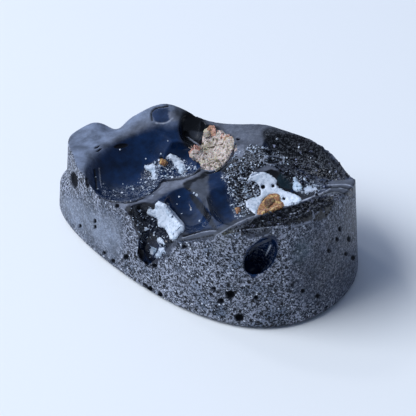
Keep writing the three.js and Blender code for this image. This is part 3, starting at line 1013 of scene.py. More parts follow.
class Cluster:
    """Crystals gathered in small batches, because a mesh operator slows down in a big mesh."""

    def __init__(self, target):
        self.target = target
        self.batch = new_lining()
        self.held = 0

    def add(self, *values):
        crystal(self.batch, *values)
        self.held += 1
        if self.held == BATCH:
            self.close()

    def close(self):
        append(self.target, self.batch)
        self.batch = new_lining()
        self.held = 0


def crystal_field(bm, spots, sizes, kinds, draw, sink=0.1):
    """Stands a scatter of crystals on spots of the stone."""
    cluster = Cluster(bm)
    for spot, normal, _ in spots:
        size = sizes[0] + (sizes[1] - sizes[0]) * draw.random() ** 2.0
        kind = draw.choice(kinds)
        cluster.add(spot - normal * size * sink, normal, size, kind, draw, draw.random())
    cluster.close()


SEEN_SKIN = []


def seen_skin():
    """The part of the stone's surface that the camera sees; it is cut out once and kept."""
    if not SEEN_SKIN:
        bm = stone_mesh()
        layer = bm.verts.layers.float["seen"]
        spare = [f for f in bm.faces if any(v[layer] < 0.5 for v in f.verts)]
        bmesh.ops.delete(bm, geom=spare, context="FACES")
        SEEN_SKIN.append(bm)
    return SEEN_SKIN[0]


def film(bm_out, corners, thickness, seed, holes=(), wobble=0.12, lumps=0.0, lump_size=0.4, tint=0.5,
         rounds=0):
    """A thin glassy film that lies on the stone inside a patch and sinks into it at its edge."""
    bm = seen_skin().copy()
    points = np.array([v.co for v in bm.verts])
    spots = sight(points)
    keep = np.zeros(len(points), bool)
    near = around(spots, corners, 8)
    keep[near] = patch_depth(spots[near], corners) > -FILM_STRIP
    bm.verts.index_update()
    spare = [f for f in bm.faces if not all(keep[v.index] for v in f.verts)]
    bmesh.ops.delete(bm, geom=spare, context="FACES")
    for _ in range(rounds):
        bmesh.ops.smooth_vert(
            bm, verts=bm.verts, factor=0.5, use_axis_x=True, use_axis_y=True, use_axis_z=True)
    bm.normal_update()
    points = np.array([v.co for v in bm.verts])
    spots = sight(points)
    depth = patch_depth(spots, corners)
    depth += wobble * ripple(points, 0.5, seed) + 0.35 * wobble * ripple(points, 0.17, seed + 3)
    for u, v, reach in holes:
        depth = np.minimum(depth, (np.hypot(spots[:, 0] - u, spots[:, 1] - v) - reach) * PIXEL)
    rise = np.where(depth > 0, thickness * (1 - np.exp(-np.maximum(depth, 0) / FILM_EDGE)), depth * 0.9)
    rise = np.maximum(rise, -0.12)
    if lumps:
        bumpy = 0.5 + 0.5 * ripple(points, lump_size, seed + 9)
        rise += lumps * bumpy * smooth(0.0, 0.15, depth)
    layer = bm.verts.layers.float.new("tint")
    for vert, lift in zip(bm.verts, rise):
        vert.co += vert.normal * lift
        vert[layer] = tint
    bm.normal_update()
    back = bmesh.ops.extrude_face_region(bm, geom=bm.faces[:], use_keep_orig=True)["geom"]
    for vert in (item for item in back if isinstance(item, bmesh.types.BMVert)):
        vert.co -= vert.normal * FILM_BACK
    bmesh.ops.recalc_face_normals(bm, faces=bm.faces)
    append(bm_out, bm)


def append(target, source):
    """Adds one mesh to another, and frees the added one."""
    mesh = bpy.data.meshes.new("joined")
    source.to_mesh(mesh)
    source.free()
    target.from_mesh(mesh)
    bpy.data.meshes.remove(mesh)


def new_lining():
    bm = bmesh.new()
    bm.verts.layers.float.new("tint")
    return bm


# ---- shader helpers -------------------------------------------------------------------------------
def plug(tree, socket, value):
    """Feeds a socket from another one, or sets its own value."""
    if isinstance(value, bpy.types.NodeSocket):
        tree.links.new(value, socket)
    else:
        socket.default_value = value


def add(tree, kind, at, inputs=None, **settings):
    """One shader node with its settings; each input is a socket or a value."""
    node = tree.nodes.new(kind)
    node.location = (at[0] * 200, -at[1] * 180)
    for key, value in settings.items():
        setattr(node, key, value)
    for key, value in (inputs or {}).items():
        plug(tree, node.inputs[key], value)
    return node


def grey(value):
    return (value, value, value, 1)


def ramp(tree, at, source, stops):
    """The colour of a ramp with (position, colour) stops."""
    node = add(tree, "ShaderNodeValToRGB", at, {"Fac": source})
    marks = node.color_ramp.elements
    while len(marks) < len(stops):
        marks.new(0.5)
    for mark, (position, colour) in zip(marks, stops):
        mark.position = position
        mark.color = colour
    return node.outputs["Color"]


def maths(tree, at, operation, a, b, clamp=False):
    """The result of a math node; a and b are sockets or numbers."""
    return add(
        tree, "ShaderNodeMath", at, {0: a, 1: b}, operation=operation, use_clamp=clamp).outputs[0]


def blend_colours(tree, at, share, a, b, mode="MIX"):
    """A colour mix; share, a and b are sockets or values."""
    node = add(
        tree, "ShaderNodeMix", at, {0: share, 6: a, 7: b}, data_type="RGBA", blend_type=mode)
    return node.outputs[2]


def noise_value(tree, at, vector, scale, detail, roughness=0.5, distortion=0.0):
    """The value of a noise texture."""
    return add(tree, "ShaderNodeTexNoise", at, {
        "Vector": vector, "Scale": scale, "Detail": detail, "Roughness": roughness,
        "Distortion": distortion}).outputs["Fac"]


def scattered_cells(tree, at, vector, scale):
    """The outputs of a cell texture."""
    return add(tree, "ShaderNodeTexVoronoi", at, {
        "Vector": vector, "Scale": scale, "Randomness": 1.0}).outputs


def channels(tree, at, colour):
    return add(tree, "ShaderNodeSeparateColor", at, {"Color": colour}).outputs


def attribute(tree, at, name, output="Fac"):
    return add(tree, "ShaderNodeAttribute", at, attribute_name=name).outputs[output]


def bump(tree, at, height, strength, distance):
    """A bumped normal; distance is in metres."""
    return add(tree, "ShaderNodeBump", at, {
        "Height": height, "Strength": strength, "Distance": distance}).outputs["Normal"]


def millimetre_space(tree):
    """Object coordinates in millimetres."""
    source = add(tree, "ShaderNodeTexCoord", (0, 0)).outputs["Object"]
    return add(tree, "ShaderNodeMapping", (1, 0), {
        "Vector": source, "Scale": (1 / MM, 1 / MM, 1 / MM)}).outputs["Vector"]


def group_tree(name, inputs, outputs):
    """A shader node group with a Vector, its other inputs and its outputs."""
    tree = bpy.data.node_groups.new(name, "ShaderNodeTree")
    tree.interface.new_socket("Vector", in_out="INPUT", socket_type="NodeSocketVector")
    for label, value in inputs.items():
        kind = "NodeSocketFloat" if isinstance(value, float) else "NodeSocketColor"
        tree.interface.new_socket(label, in_out="INPUT", socket_type=kind).default_value = value
    for label in outputs:
        kind = "NodeSocketColor" if label == "Color" else "NodeSocketFloat"
        tree.interface.new_socket(label, in_out="OUTPUT", socket_type=kind)
    start = add(tree, "NodeGroupInput", (0, 0))
    end = add(tree, "NodeGroupOutput", (9, 0))
    return tree, start.outputs, end.inputs


def grain_group():
    """Grain: crushed mineral grains, with their tone and height."""
    tree, start, end = group_tree("Grain", {"Grain Size": 0.15, "Contrast": 1.0}, ("Tone", "Height"))
    scale = maths(tree, (1, 1), "DIVIDE", 1.0, start["Grain Size"])
    broad = maths(tree, (1, 0), "MULTIPLY", scale, 0.55)
    coarse = noise_value(tree, (2, 0), start["Vector"], broad, 3.0, 0.62, 0.4)
    shade = channels(tree, (3, 2), scattered_cells(tree, (2, 2), start["Vector"], scale)["Color"])
    spread = maths(tree, (3, 0), "SUBTRACT", coarse, 0.5)
    spread = maths(tree, (4, 0), "MULTIPLY", spread, 2.4)
    both = maths(tree, (5, 1), "ADD", spread, maths(tree, (4, 2), "SUBTRACT", shade[0], 0.5))
    both = maths(tree, (6, 1), "MULTIPLY", both, start["Contrast"])
    plug(tree, end["Tone"], maths(tree, (7, 1), "ADD", both, 0.5, clamp=True))
    fine = maths(tree, (6, 3), "MULTIPLY", shade[1], 0.6)
    plug(tree, end["Height"], maths(tree, (7, 3), "ADD", coarse, fine))
    return tree


def specks_group():
    """Specks: scattered small dots, such as glints or tiny pits."""
    tree, start, end = group_tree("Specks", {"Spacing": 0.3, "Share": 0.2, "Radius": 0.3}, ("Mask",))
    scale = maths(tree, (1, 0), "DIVIDE", 1.0, start["Spacing"])
    dots = scattered_cells(tree, (2, 0), start["Vector"], scale)
    split = channels(tree, (3, 1), dots["Color"])
    chosen = maths(tree, (4, 1), "LESS_THAN", split[0], start["Share"])
    near = maths(tree, (4, 0), "DIVIDE", dots["Distance"], start["Radius"])
    near = maths(tree, (5, 0), "SUBTRACT", 1.35, near)
    near = maths(tree, (6, 0), "MULTIPLY", near, 3.0, clamp=True)
    plug(tree, end["Mask"], maths(tree, (7, 0), "MULTIPLY", near, chosen))
    return tree


def mineral_group():
    """Mineral: two mineral colours mixed in soft patches, darkened by the Shadow colour where the bump
    is low as painted shade, with a height for the bump.
    """
    tree, start, end = group_tree(
        "Mineral",
        {"Patch Size": 0.8, "Main": grey(0.8), "Second": grey(0.5), "Shadow": grey(0.1)},
        ("Color", "Height"),
    )
    scale = maths(tree, (1, 1), "DIVIDE", 1.0, start["Patch Size"])
    patches = noise_value(tree, (2, 0), start["Vector"], scale, 2.0, 0.6, 0.6)
    scale = maths(tree, (1, 3), "MULTIPLY", scale, 4.2)
    fine = noise_value(tree, (2, 2), start["Vector"], scale, 3.0, 0.65, 0.3)
    second = ramp(tree, (3, 0), patches, ((0.5, grey(0)), (0.62, grey(1))))
    # painted shade: the Shadow colour fills the low spots of the bump
    shadow = ramp(tree, (3, 2), fine, ((0.34, grey(1)), (0.5, grey(0))))
    colour = blend_colours(tree, (5, 0), second, start["Main"], start["Second"])
    plug(tree, end["Color"], blend_colours(tree, (6, 1), shadow, colour, start["Shadow"]))
    plug(tree, end["Height"], fine)
    return tree


GROUPS = {"Grain": grain_group, "Specks": specks_group, "Mineral": mineral_group}


def place_group(tree, name, at, vector, values):
    """The outputs of a shared group, which is made at its first use."""
    group = bpy.data.node_groups.get(name) or GROUPS[name]()
    return add(tree, "ShaderNodeGroup", at, {"Vector": vector, **values}, node_tree=group).outputs


def new_material(name, shader_values):
    """A material with one Principled shader, its constants set on its own sockets."""
    material = bpy.data.materials.new(name)
    material.use_nodes = True
    tree = material.node_tree
    tree.nodes.clear()
    shader = add(tree, "ShaderNodeBsdfPrincipled", (14, 0), shader_values)
    add(tree, "ShaderNodeOutputMaterial", (16, 0), {"Surface": shader.outputs["BSDF"]})
    return material, tree, shader.inputs


# ---- materials ------------------------------------------------------------------------------------
THREAD_COLOUR = (0.36, 0.4, 0.48, 1)
# Painted glints: light specks of the wall that stand in for sparkle highlights.
GLINT_COLOUR = (0.58, 0.63, 0.73, 1)
HOLE_SHADE_COLOUR = (0.005, 0.006, 0.009, 1)
PIT_SHADE_COLOUR = (0.004, 0.005, 0.008, 1)
CHIP_COLOUR = (0.26, 0.29, 0.35, 1)


def lava_material(stone):
    """Ground grey wall and black glass skin, told apart by the masks on the stone's vertices."""
    material, tree, shader = new_material(
        "ground_lava_and_glass", {"IOR": 1.5, "Specular IOR Level": 0.3})
    space = millimetre_space(tree)
    ground = attribute(tree, (1, 4), "ground")
    chipped = attribute(tree, (1, 5), "chipped")
    matte = attribute(tree, (1, 6), "matte")
    pit = attribute(tree, (1, 8), "pit")
    tone = attribute(tree, (1, 9), "tone", "Color")
    grain = place_group(tree, "Grain", (3, 0), space, {"Grain Size": 0.125, "Contrast": 2.1})
    holes = place_group(
        tree, "Specks", (3, 2), space, {"Spacing": 0.5, "Share": 0.34, "Radius": 0.24})["Mask"]
    glints = place_group(
        tree, "Specks", (3, 3), space, {"Spacing": 0.2, "Share": 0.07, "Radius": 0.34})["Mask"]
    smoke = noise_value(tree, (3, 5), space, 0.7, 5.0, 0.65)
    clouds = noise_value(tree, (3, 6), space, 0.6, 3.0)
    worms = noise_value(tree, (3, 7), space, 3.0, 1.5, 0.5, 1.3)

    light_grain = ramp(
        tree, (4, 0), grain["Tone"], ((0.5, grey(0)), (0.76, grey(0.2)), (0.98, grey(1))))
    wall = blend_colours(
        tree, (5, 0), light_grain, tuple(stone.ground_dark), tuple(stone.ground_light))
    threads = ramp(tree, (4, 7), worms, (
        (0.465, grey(0)), (0.485, grey(0.9)), (0.5, grey(0.9)), (0.52, grey(0))))
    wall = blend_colours(tree, (6, 0), threads, wall, THREAD_COLOUR)
    mottle = ramp(tree, (4, 6), clouds, (
        (0.3, (0.45, 0.51, 0.57, 1)), (0.5, grey(0.88)), (0.7, grey(1.15))))
    wall = blend_colours(tree, (7, 0), 1.0, wall, mottle, "MULTIPLY")
    # painted highlights: the glints
    wall = blend_colours(tree, (8, 0), glints, wall, GLINT_COLOUR)
    # painted shade in the tiny holes of the wall
    wall = blend_colours(tree, (9, 0), holes, wall, HOLE_SHADE_COLOUR)

    haze = ramp(tree, (4, 5), smoke, ((0.36, grey(0.55)), (0.5, grey(1)), (0.66, grey(1.5))))
    skin = blend_colours(tree, (6, 5), 1.0, tone, haze, "MULTIPLY")
    chips = maths(tree, (7, 7), "MULTIPLY", light_grain, chipped)
    chips = maths(tree, (8, 7), "MULTIPLY", chips, 0.5)
    skin = blend_colours(tree, (9, 5), chips, skin, CHIP_COLOUR)
    colour = blend_colours(tree, (10, 2), ground, skin, wall)
    # painted shade: the pits are darkened
    plug(tree, shader["Base Color"], blend_colours(tree, (11, 2), pit, colour, PIT_SHADE_COLOUR))

    rough_wall = maths(tree, (9, 8), "MULTIPLY", grain["Tone"], -0.25)
    rough_wall = maths(tree, (10, 8), "ADD", rough_wall, 0.7)
    rough_skin = maths(tree, (10, 9), "MULTIPLY", haze, 0.07)
    rough_skin = maths(tree, (11, 9), "ADD", rough_skin, matte)
    rough = add(
        tree, "ShaderNodeMix", (12, 8), {0: ground, 2: rough_skin, 3: rough_wall}, data_type="FLOAT")
    rough_pit = maths(tree, (12, 10), "MULTIPLY", pit, 0.5)
    plug(tree, shader["Roughness"], maths(
        tree, (13, 8), "ADD", rough.outputs[0], rough_pit, clamp=True))

    grainy = maths(tree, (8, 12), "MAXIMUM", ground, chipped)
    height = maths(tree, (9, 12), "MULTIPLY", grain["Height"], grainy)
    sunk = maths(tree, (9, 13), "MULTIPLY", holes, ground)
    height = maths(tree, (10, 12), "SUBTRACT", height, sunk)
    plug(tree, shader["Normal"], bump(tree, (12, 12), height, 0.85, 0.07 * MM))
    return material


def mineral_material(name, main, second, shadow, roughness, patch, tinted, shader_values, bump_height):
    """A pale or dark mineral; each crystal's own tint moves its colour."""
    material, tree, shader = new_material(name, shader_values)
    space = millimetre_space(tree)
    body = place_group(
        tree, "Mineral", (3, 0), space,
        {"Patch Size": patch, "Main": tuple(main), "Second": tuple(second), "Shadow": tuple(shadow)},
    )
    tones = ramp(tree, (3, 3), attribute(tree, (2, 3), "tint"), tinted)
    plug(tree, shader["Base Color"], blend_colours(
        tree, (6, 0), 1.0, body["Color"], tones, "MULTIPLY"))
    grain = place_group(tree, "Grain", (3, 5), space, {"Grain Size": 0.09, "Contrast": 1.0})
    polish = maths(tree, (6, 5), "MULTIPLY", grain["Tone"], 0.22)
    plug(tree, shader["Roughness"], maths(tree, (7, 5), "ADD", polish, roughness))
    plug(tree, shader["Normal"], bump(tree, (9, 6), body["Height"], 0.6, bump_height))
    return material


WHITE_TINTS = ((0.0, (0.35, 0.37, 0.42, 1)), (0.5, (0.9, 0.92, 0.95, 1)), (1.0, (1.1, 1.1, 1.1, 1)))
CREAM_TINTS = (
    (0.0, (0.42, 0.4, 0.3, 1)), (0.3, (0.95, 0.93, 0.88, 1)), (0.75, (1.2, 1.2, 1.2, 1)),
    (0.85, (1.15, 0.8, 0.72, 1)), (1.0, (1.0, 0.6, 0.5, 1)),
)
# Tints of the black crystals: most stay dark, and the lightest few are painted highlights standing in
# for glints.
BLACK_TINTS = (
    (0.0, grey(0.4)), (0.84, grey(0.9)), (0.9, grey(4.0)), (0.97, grey(12.0)), (1.0, grey(26.0)),
)


# ---- operators ------------------------------------------------------------------------------------
class LAVA_OT_stone(Operator):
    """Build the stone body from the solid, with its smooth hollows, painted skin, cracks and pits."""

    bl_idname = "lava.stone"
    bl_label = "Lava stone"

    def execute(self, context):
        stone = context.scene.lava_stone
        mesh = remesh_copy("stone", stone.facet / MM)
        if len(mesh.vertices) < 1000:
            raise RuntimeError("the remeshed stone is empty")
        table = PlanTable()
        points, carving = settle(coordinates(mesh), table, 4)
        write_coordinates(mesh, points)
        spots = sight(points)
        upper = np.maximum(above_top(points), carving.depth(points))
        fine = wall_distance(points, table) - upper < FINE_STRIP
        fine &= points[:, 2] > FINE_ABOVE
        for u, v, wide, tall, _, _ in PITS:
            fine[around(spots, ((u, v),), max(wide, tall) + 3)] = True
        refine(mesh, fine)
        points, carving = settle(coordinates(mesh), table, 3)
        write_coordinates(mesh, points)
        normals = read_vectors(mesh.vertex_normals, "vector")
        self.paint(mesh, points, normals, table, carving, stone)
        self.finish(mesh, lava_material(stone))
        return {"FINISHED"}

    def paint(self, mesh, points, normals, table, carving, stone):
        """Tones, cracks, pits and ripples, written to the mesh as heights and vertex masks."""
        wall = wall_distance(points, table)
        top = above_top(points)
        ground = smooth(-0.08, 0.08, wall - np.maximum(top, carving.depth(points)))
        ground = np.maximum(ground, 1 - smooth(0.0, 0.05, points[:, 2]))
        seen = seen_from_eye(mesh, points, normals)
        skin = Skin(points, seen, ground, -top)
        for patch in SKIN:
            skin.patch(*patch)
        # a ring of painted shade where each film meets the stone
        for corners in RINGED:
            skin.patch("black", RING_SOFT, 1.0, corners)
        for veil in VEILS:
            skin.veil(*veil)
        for line in STROKES:
            skin.stroke(*line)
        for pit in PITS:
            skin.dent(*pit)
        draw = random.Random(PIT_SEED)
        smallest, spread, deep = SMALL_PIT
        for _ in range(stone.pit_count):
            middle = points[draw.randrange(len(points))]
            size = smallest + spread * draw.random() ** 3
            near = within_reach(points, middle, size * 1.2)
            reach = np.linalg.norm(points[near] - middle, axis=1) / size
            skin.sink(near, reach, size * deep, skin.ground[near] * (points[near, 2] > 0.5))
        inside = (wall < -CHIPS_INSIDE) & (points[:, 2] > CHIPS_ABOVE)
        for oval in (FAR_BOWL, FRONT_LEDGE):
            skin.chip(0.5 * oval_share(points[:, :2], oval) * inside)
        for corners, share in CHIPPED:
            skin.chip(share * seen * smooth(-0.3, 0.4, patch_depth(skin.spots, corners)))
        skin.chipped *= 1 - skin.ground
        self.raise_skin(mesh, points, normals, skin, stone)

    def raise_skin(self, mesh, points, normals, skin, stone):
        """Moves the vertices by the skin's heights and writes its masks."""
        waves = ripple(points, BROAD_WAVE, 4.0, 2) + 0.4 * ripple(points, SMALL_WAVE, 8.0, 2)
        chips = cells(points, CHIP, 5.0) - 0.45 + 0.4 * ripple(points, CHIP_ROUGH, 2.0, 2)
        lift = skin.lift + (1 - skin.ground) * (1 - skin.pit) * waves * stone.ripple / MM
        lift = lift + skin.chipped * chips * stone.roughness_height / MM
        lift[points[:, 2] < CHAMFER] = 0
        write_coordinates(mesh, points + normals * lift[:, None])
        for name in ("ground", "chipped", "matte", "pit", "seen"):
            write_mask(mesh, name, getattr(skin, name))
        write_tone(mesh, skin.colour)

    def finish(self, mesh, material):
        """Closes the base with one flat face and makes the piece."""
        bm = opened(mesh)
        bpy.data.meshes.remove(mesh)
        for vert in bm.verts:
            if vert.co.z < ON_BASE:
                vert.co.z = 0
        under = [f for f in bm.faces if all(v.co.z == 0 for v in f.verts)]
        bmesh.ops.delete(bm, geom=under, context="FACES")
        bmesh.ops.edgeloop_fill(bm, edges=[e for e in bm.edges if e.is_boundary])
        bmesh.ops.recalc_face_normals(bm, faces=bm.faces)
        piece = make_object("lava_stone", bm, material, smooth_faces=True)
        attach(piece, "root")
        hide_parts("stone")


class LAVA_OT_cream_crystals(Operator):
    """Fill the cream pocket with a lumpy bed and blocky crystals."""

    bl_idname = "lava.cream_crystals"
    bl_label = "Cream crystals"

    def execute(self, context):
        lining = context.scene.lava_lining
        bm = new_lining()
        bed = lining.cream_bed / MM
        film(bm, CREAM_BED, bed, 21.0, wobble=0.14, lumps=0.25, lump_size=0.4)
        draw = random.Random(CREAM_SEED)
        cluster = Cluster(bm)
        count = lining.cream_crystals
        for spot, normal, depth in spots_in_patch(Ground(), CREAM_BED, count, draw, 0.02):
            size = draw.uniform(*(CREAM_SMALL if draw.random() < SMALL_SHARE else CREAM_LARGE))
            rise = bed * min(1, max(0, depth) / 0.25) * draw.uniform(0.5, 1.1)
            u, v = sight(np.array((spot,)))[0]
            pink = any(math.hypot(u - a, v - b) < reach for a, b, reach in PINK_TIPS)
            tint = draw.uniform(*PINK_TINTS) if pink else PLAIN_TINT * draw.random() ** 0.8
            kind = draw.choice(("block", "bead", "bead"))
            cluster.add(spot + normal * rise, normal, size, kind, draw, tint, 0.45)
        cluster.close()
        material = mineral_material(
            "cream_calcite", lining.cream, lining.olive, (0.1, 0.078, 0.045, 1), roughness=0.38,
            patch=1.1, tinted=CREAM_TINTS, bump_height=0.00006,
            shader_values={"IOR": 1.5, "Subsurface Weight": 0.1, "Subsurface Scale": 0.0003},
        )
        piece = make_object("cream_crystals", bm, material)
        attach(piece, "root")
        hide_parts("cream_crust")
        return {"FINISHED"}


def pale_lining(name, node, films, fields, material):
    """One lining of films and scattered crystals.

    Films hold outline, thickness, seed and film()'s other values. Fields hold outline, how many
    crystals, sizes in millimetres, kinds and seed. The node is the CAD crust that it stands for.
    """
    bm = new_lining()
    for corners, thickness, seed, more in films:
        film(bm, corners, thickness, seed, **more)
    ground = Ground()
    for corners, count, sizes, kinds, seed in fields:
        draw = random.Random(seed)
        crystal_field(bm, spots_in_patch(ground, corners, count, draw, 0.1), sizes, kinds, draw)
    piece = make_object(name, bm, material)
    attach(piece, "root")
    if node:
        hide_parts(node)


def white_mineral(lining):
    return mineral_material(
        "white_film", lining.white, (0.46, 0.55, 0.66, 1), (0.34, 0.41, 0.5, 1), roughness=0.12,
        patch=1.3, tinted=WHITE_TINTS, bump_height=0.00004,
        shader_values={"IOR": 1.5, "Coat Weight": 0.3, "Coat Roughness": 0.06},
    )


class LAVA_OT_pale_linings(Operator):
    """Lay white and pale blue films and pale crystals in three hollows, and single bright crystals."""

    bl_idname = "lava.pale_linings"
    bl_label = "Pale linings"

    def execute(self, context):
        lining = context.scene.lava_lining
        thick = lining.film / MM
        count = lining.pale_crystals
        white = white_mineral(lining)
        pale_lining(
            "right_film", "right_basin_crust",
            (
                (RIGHT_FILM, thick, 3.0, {
                    "holes": ((263, 187, 2.1), (273, 186, 1.6), (284, 199, 1.4)), "wobble": 0.12,
                    "lumps": 0.03, "tint": 0.85}),
                (GREY_FILM, thick * 0.7, 5.0, {"lumps": 0.05, "tint": 0.3}),
            ),
            (
                (RIGHT_GRAVEL, count, (0.07, 0.22), ("point", "block", "bead"), 31),
                (SADDLE_GRAVEL, int(count * 0.8), (0.07, 0.2), ("point", "block"), 32),
                (BLUE_GRAVEL, int(count * 0.4), (0.07, 0.2), ("point", "block"), 36),
            ),
            white,
        )
        pale_lining(
            "left_film", "left_basin_crust",
            (
                (LEFT_LUMPS, thick, 11.0, {"wobble": 0.3, "lumps": 0.15, "tint": 0.6}),
                (LEFT_BAND, thick * 1.2, 13.0, {"wobble": 0.2, "lumps": 0.1, "tint": 0.9}),
            ),
            (
                (LEFT_GRAVEL, count, (0.07, 0.22), ("point", "block", "bead"), 33),
                (NEAR_GRAVEL, int(count * 0.3), (0.05, 0.14), ("point", "block"), 37),
            ),
            white,
        )
        pale_lining(
            "notch_film", "notch_crust",
            (
                (NOTCH_FILM, thick * 1.3, 17.0, {
                    "wobble": 0.1, "lumps": 0.02, "tint": 0.95, "rounds": 1}),
                (NOTCH_SHARDS, thick, 18.0, {"wobble": 0.2, "lumps": 0.1, "tint": 0.8}),
                (FOOT_SHARDS, thick * 0.8, 19.0, {"wobble": 0.45, "lumps": 0.1, "tint": 0.5}),
            ),
            ((NOTCH_GRAVEL, int(count * 0.3), (0.07, 0.18), ("point", "block"), 34),),
            white,
        )
        self.sparks(white)
        return {"FINISHED"}

    def sparks(self, material):
        """Single bright crystals in the dark hollows; their white is partly a painted highlight."""
        bm = new_lining()
        ground = Ground()
        draw = random.Random(SPARK_SEED)
        for u, v, size in SPARKS:
            spot, normal = ground.along_sight(u, v)
            if spot is not None:
                crystal(bm, spot, normal, size, draw.choice(("bead", "block")), draw, 1.0)
        piece = make_object("sparks", bm, material)
        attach(piece, "root")


class LAVA_OT_tinted_patches(Operator):
    """Lay the rust stains and the pale blue patch."""

    bl_idname = "lava.tinted_patches"
    bl_label = "Tinted patches"

    def execute(self, context):
        lining = context.scene.lava_lining
        thick = lining.film / MM
        rust = mineral_material(
            "rust_stain", lining.rust, (0.62, 0.42, 0.16, 1), (0.05, 0.03, 0.02, 1), roughness=0.2,
            patch=0.34, tinted=WHITE_TINTS, bump_height=0.00006,
            shader_values={"IOR": 1.5, "Coat Weight": 0.3, "Coat Roughness": 0.08},
        )
        blue = mineral_material(
            "blue_film", lining.blue, lining.white, (0.1, 0.15, 0.2, 1), roughness=0.08,
            patch=0.9, tinted=WHITE_TINTS, bump_height=0.00004,
            shader_values={"IOR": 1.5, "Coat Weight": 0.4, "Coat Roughness": 0.05},
        )
        pale_lining(
            "rust_patches", None,
            (
                (RUST_WEDGE, thick * 1.1, 23.0, {
                    "wobble": 0.12, "lumps": 0.1, "lump_size": 0.3, "tint": 0.6}),
                (RUST_CORE, thick * 2.2, 24.0, {
                    "wobble": 0.15, "lumps": 0.12, "lump_size": 0.3, "tint": 0.0}),
                (RUST_CRUMB, thick, 25.0, {"wobble": 0.15, "lumps": 0.1, "tint": 0.5}),
                (ORANGE_LUMPS, thick, 29.0, {"wobble": 0.15, "lumps": 0.15, "tint": 0.8}),
            ),
            ((ORANGE_LUMPS, 16, (0.1, 0.22), ("block", "bead"), 35),),
            rust,
        )
        pale_lining(
            "blue_patch", None,
            (
                (BLUE_FILM, thick, 27.0, {"wobble": 0.1, "lumps": 0.05, "tint": 0.8}),
                (BLUE_SHARDS, thick * 0.8, 28.0, {"wobble": 0.2, "lumps": 0.05, "tint": 0.6}),
            ),
            (), blue,
        )
        return {"FINISHED"}


class LAVA_OT_black_druzy(Operator):
    """Cover the far bowl and the front ledge with black sparkling crystals."""

    bl_idname = "lava.black_druzy"
    bl_label = "Black druzy"

    def execute(self, context):
        lining = context.scene.lava_lining
        black = mineral_material(
            "black_quartz", (0.009, 0.01, 0.015, 1), (0.016, 0.019, 0.028, 1),
            (0.003, 0.003, 0.005, 1), roughness=0.16, patch=0.6, tinted=BLACK_TINTS,
            bump_height=0.00003, shader_values={"IOR": 1.5, "Specular IOR Level": 0.4},
        )
        ground = Ground()
        most = lining.black_crystals
        for name, node, oval, count, sizes, seed in (
            ("far_bowl_druzy", "far_bowl_crust", FAR_BOWL, most, (0.1, 0.3), 51),
            ("front_ledge_druzy", "front_ledge_crust", FRONT_LEDGE, most // 2, (0.1, 0.26), 52),
        ):
            draw = random.Random(seed)
            bm = new_lining()
            spots = spots_in_oval(ground, oval, count, draw)
            if oval is FRONT_LEDGE:
                spots += spots_in_patch(ground, LEDGE_BAND, count, draw)
            crystal_field(bm, spots, sizes, ("point", "bead", "block"), draw, sink=0.25)
            piece = make_object(name, bm, black)
            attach(piece, "root")
            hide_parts(node)
        return {"FINISHED"}


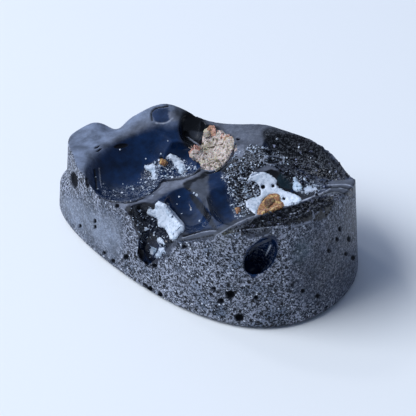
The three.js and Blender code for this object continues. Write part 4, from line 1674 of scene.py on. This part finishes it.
class LAVA_OT_stage(Operator):
    """Add the floor, the lights and the camera."""

    bl_idname = "lava.stage"
    bl_label = "Stage"

    def execute(self, context):
        stage = context.scene.lava_stage
        bm = bmesh.new()
        bmesh.ops.create_grid(bm, x_segments=1, y_segments=1, size=stage.floor_size / 2 / MM)
        bmesh.ops.translate(bm, verts=bm.verts, vec=(0, 0, -0.01))
        paper, _, shader = new_material("floor_paper", {"Roughness": 0.7, "Specular IOR Level": 0.2})
        shader["Base Color"].default_value = tuple(stage.floor_colour)
        make_object("floor", bm, paper)
        self.camera(context, stage)
        self.lights(context, stage)
        return {"FINISHED"}

    def camera(self, context, stage):
        back = Vector(backward(stage.azimuth, stage.elevation))
        data = bpy.data.cameras.new("camera")
        data.sensor_width = SENSOR
        data.lens = SENSOR * FOCAL / FRAME
        data.clip_start = 0.005
        camera = bpy.data.objects.new("camera", data)
        camera.location = Vector(AIM) * MM + back * stage.distance
        camera.rotation_euler = back.to_track_quat("Z", "Y").to_euler()
        context.scene.collection.objects.link(camera)
        context.scene.camera = camera

    def lamp(self, context, name, place, toward, **settings):
        """An area light; its own z axis is turned to the direction it comes from."""
        data = bpy.data.lights.new(name, "AREA")
        for key, value in settings.items():
            setattr(data, key, value)
        light = bpy.data.objects.new(name, data)
        light.location = place
        light.rotation_euler = toward.to_track_quat("Z", "Y").to_euler()
        context.scene.collection.objects.link(light)
        return light

    def lights(self, context, stage):
        """A soft key light, a small lamp for the sparkles, and the sky."""
        def beside(across, away, up):
            turn = stage.azimuth
            return (Vector((math.cos(turn), math.sin(turn), 0)) * across
                    + Vector((-math.sin(turn), math.cos(turn), 0)) * away + Vector((0, 0, up)))

        toward = beside(*KEY_AT)
        key = self.lamp(
            context, "key", toward, toward, shape="RECTANGLE", size=KEY_SIZE[0],
            size_y=KEY_SIZE[1], energy=stage.key_power, color=(0.94, 0.97, 1.0))
        key.visible_glossy = False
        toward = beside(*GLINT_TOWARD)
        self.lamp(
            context, "glint", toward.normalized() * GLINT_DISTANCE, toward, size=0.05, energy=0.16)
        level = beside(-math.sin(WINDOW_BEARING), math.cos(WINDOW_BEARING), 0).normalized()
        self.sky(
            context, stage, level * math.cos(WINDOW_RISE) + Vector((0, 0, math.sin(WINDOW_RISE))))

    def sky(self, context, stage, window):
        """A pale sky that fades upward, lit on one side by a wide window."""
        world = bpy.data.worlds.new("studio")
        world.use_nodes = True
        tree = world.node_tree
        tree.nodes.clear()
        direction = add(tree, "ShaderNodeTexCoord", (0, 0)).outputs["Generated"]
        upward = add(tree, "ShaderNodeSeparateXYZ", (1, 0), {"Vector": direction}).outputs["Z"]
        height = ramp(tree, (2, 0), upward, (
            (0.0, grey(0.9)), (0.5, grey(1.0)), (0.72, grey(0.3)), (0.95, grey(0.05))))
        facing = add(
            tree, "ShaderNodeVectorMath", (1, 2), {0: direction, 1: window}, operation="DOT_PRODUCT")
        side = ramp(tree, (2, 2), facing.outputs["Value"], (
            (0.45, grey(0.0)), (0.75, grey(0.7)), (0.95, grey(1.0))))
        lit = blend_colours(tree, (4, 0), 1.0, height, side, "MULTIPLY")
        glow = blend_colours(tree, (5, 0), lit, (0.16, 0.2, 0.29, 1), (0.6, 0.75, 1.1, 1))
        light = add(tree, "ShaderNodeBackground", (6, 0), {"Color": glow, "Strength": stage.sky})
        add(tree, "ShaderNodeOutputWorld", (7, 0), {"Surface": light.outputs["Background"]})
        context.scene.world = world
        context.scene.view_settings.view_transform = "Standard"


class LAVA_PT_panel(Panel):
    """Sidebar panel with one button for each part of the rock."""

    bl_label = "Druzy lava rock"
    bl_idname = "LAVA_PT_panel"
    bl_space_type = "VIEW_3D"
    bl_region_type = "UI"
    bl_category = "Lava rock"

    def draw(self, context):
        layout = self.layout
        for group in (context.scene.lava_stone, context.scene.lava_lining, context.scene.lava_stage):
            box = layout.box()
            for name in group.__annotations__:
                box.prop(group, name)
        for operator in OPERATORS:
            layout.operator(operator.bl_idname)


OPERATORS = (
    LAVA_OT_stone,
    LAVA_OT_cream_crystals,
    LAVA_OT_pale_linings,
    LAVA_OT_tinted_patches,
    LAVA_OT_black_druzy,
    LAVA_OT_stage,
)
CLASSES = (StoneSettings, LiningSettings, StageSettings, *OPERATORS, LAVA_PT_panel)


def register():
    for cls in CLASSES:
        bpy.utils.register_class(cls)
    bpy.types.Scene.lava_stone = PointerProperty(type=StoneSettings)
    bpy.types.Scene.lava_lining = PointerProperty(type=LiningSettings)
    bpy.types.Scene.lava_stage = PointerProperty(type=StageSettings)


def unregister():
    del bpy.types.Scene.lava_stage
    del bpy.types.Scene.lava_lining
    del bpy.types.Scene.lava_stone
    for cls in reversed(CLASSES):
        bpy.utils.unregister_class(cls)


def main():
    register()
    bpy.ops.lava.stone()
    bpy.ops.lava.cream_crystals()
    bpy.ops.lava.pale_linings()
    bpy.ops.lava.tinted_patches()
    bpy.ops.lava.black_druzy()
    bpy.ops.lava.stage()
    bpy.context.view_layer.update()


if __name__ == "__main__":
    main()
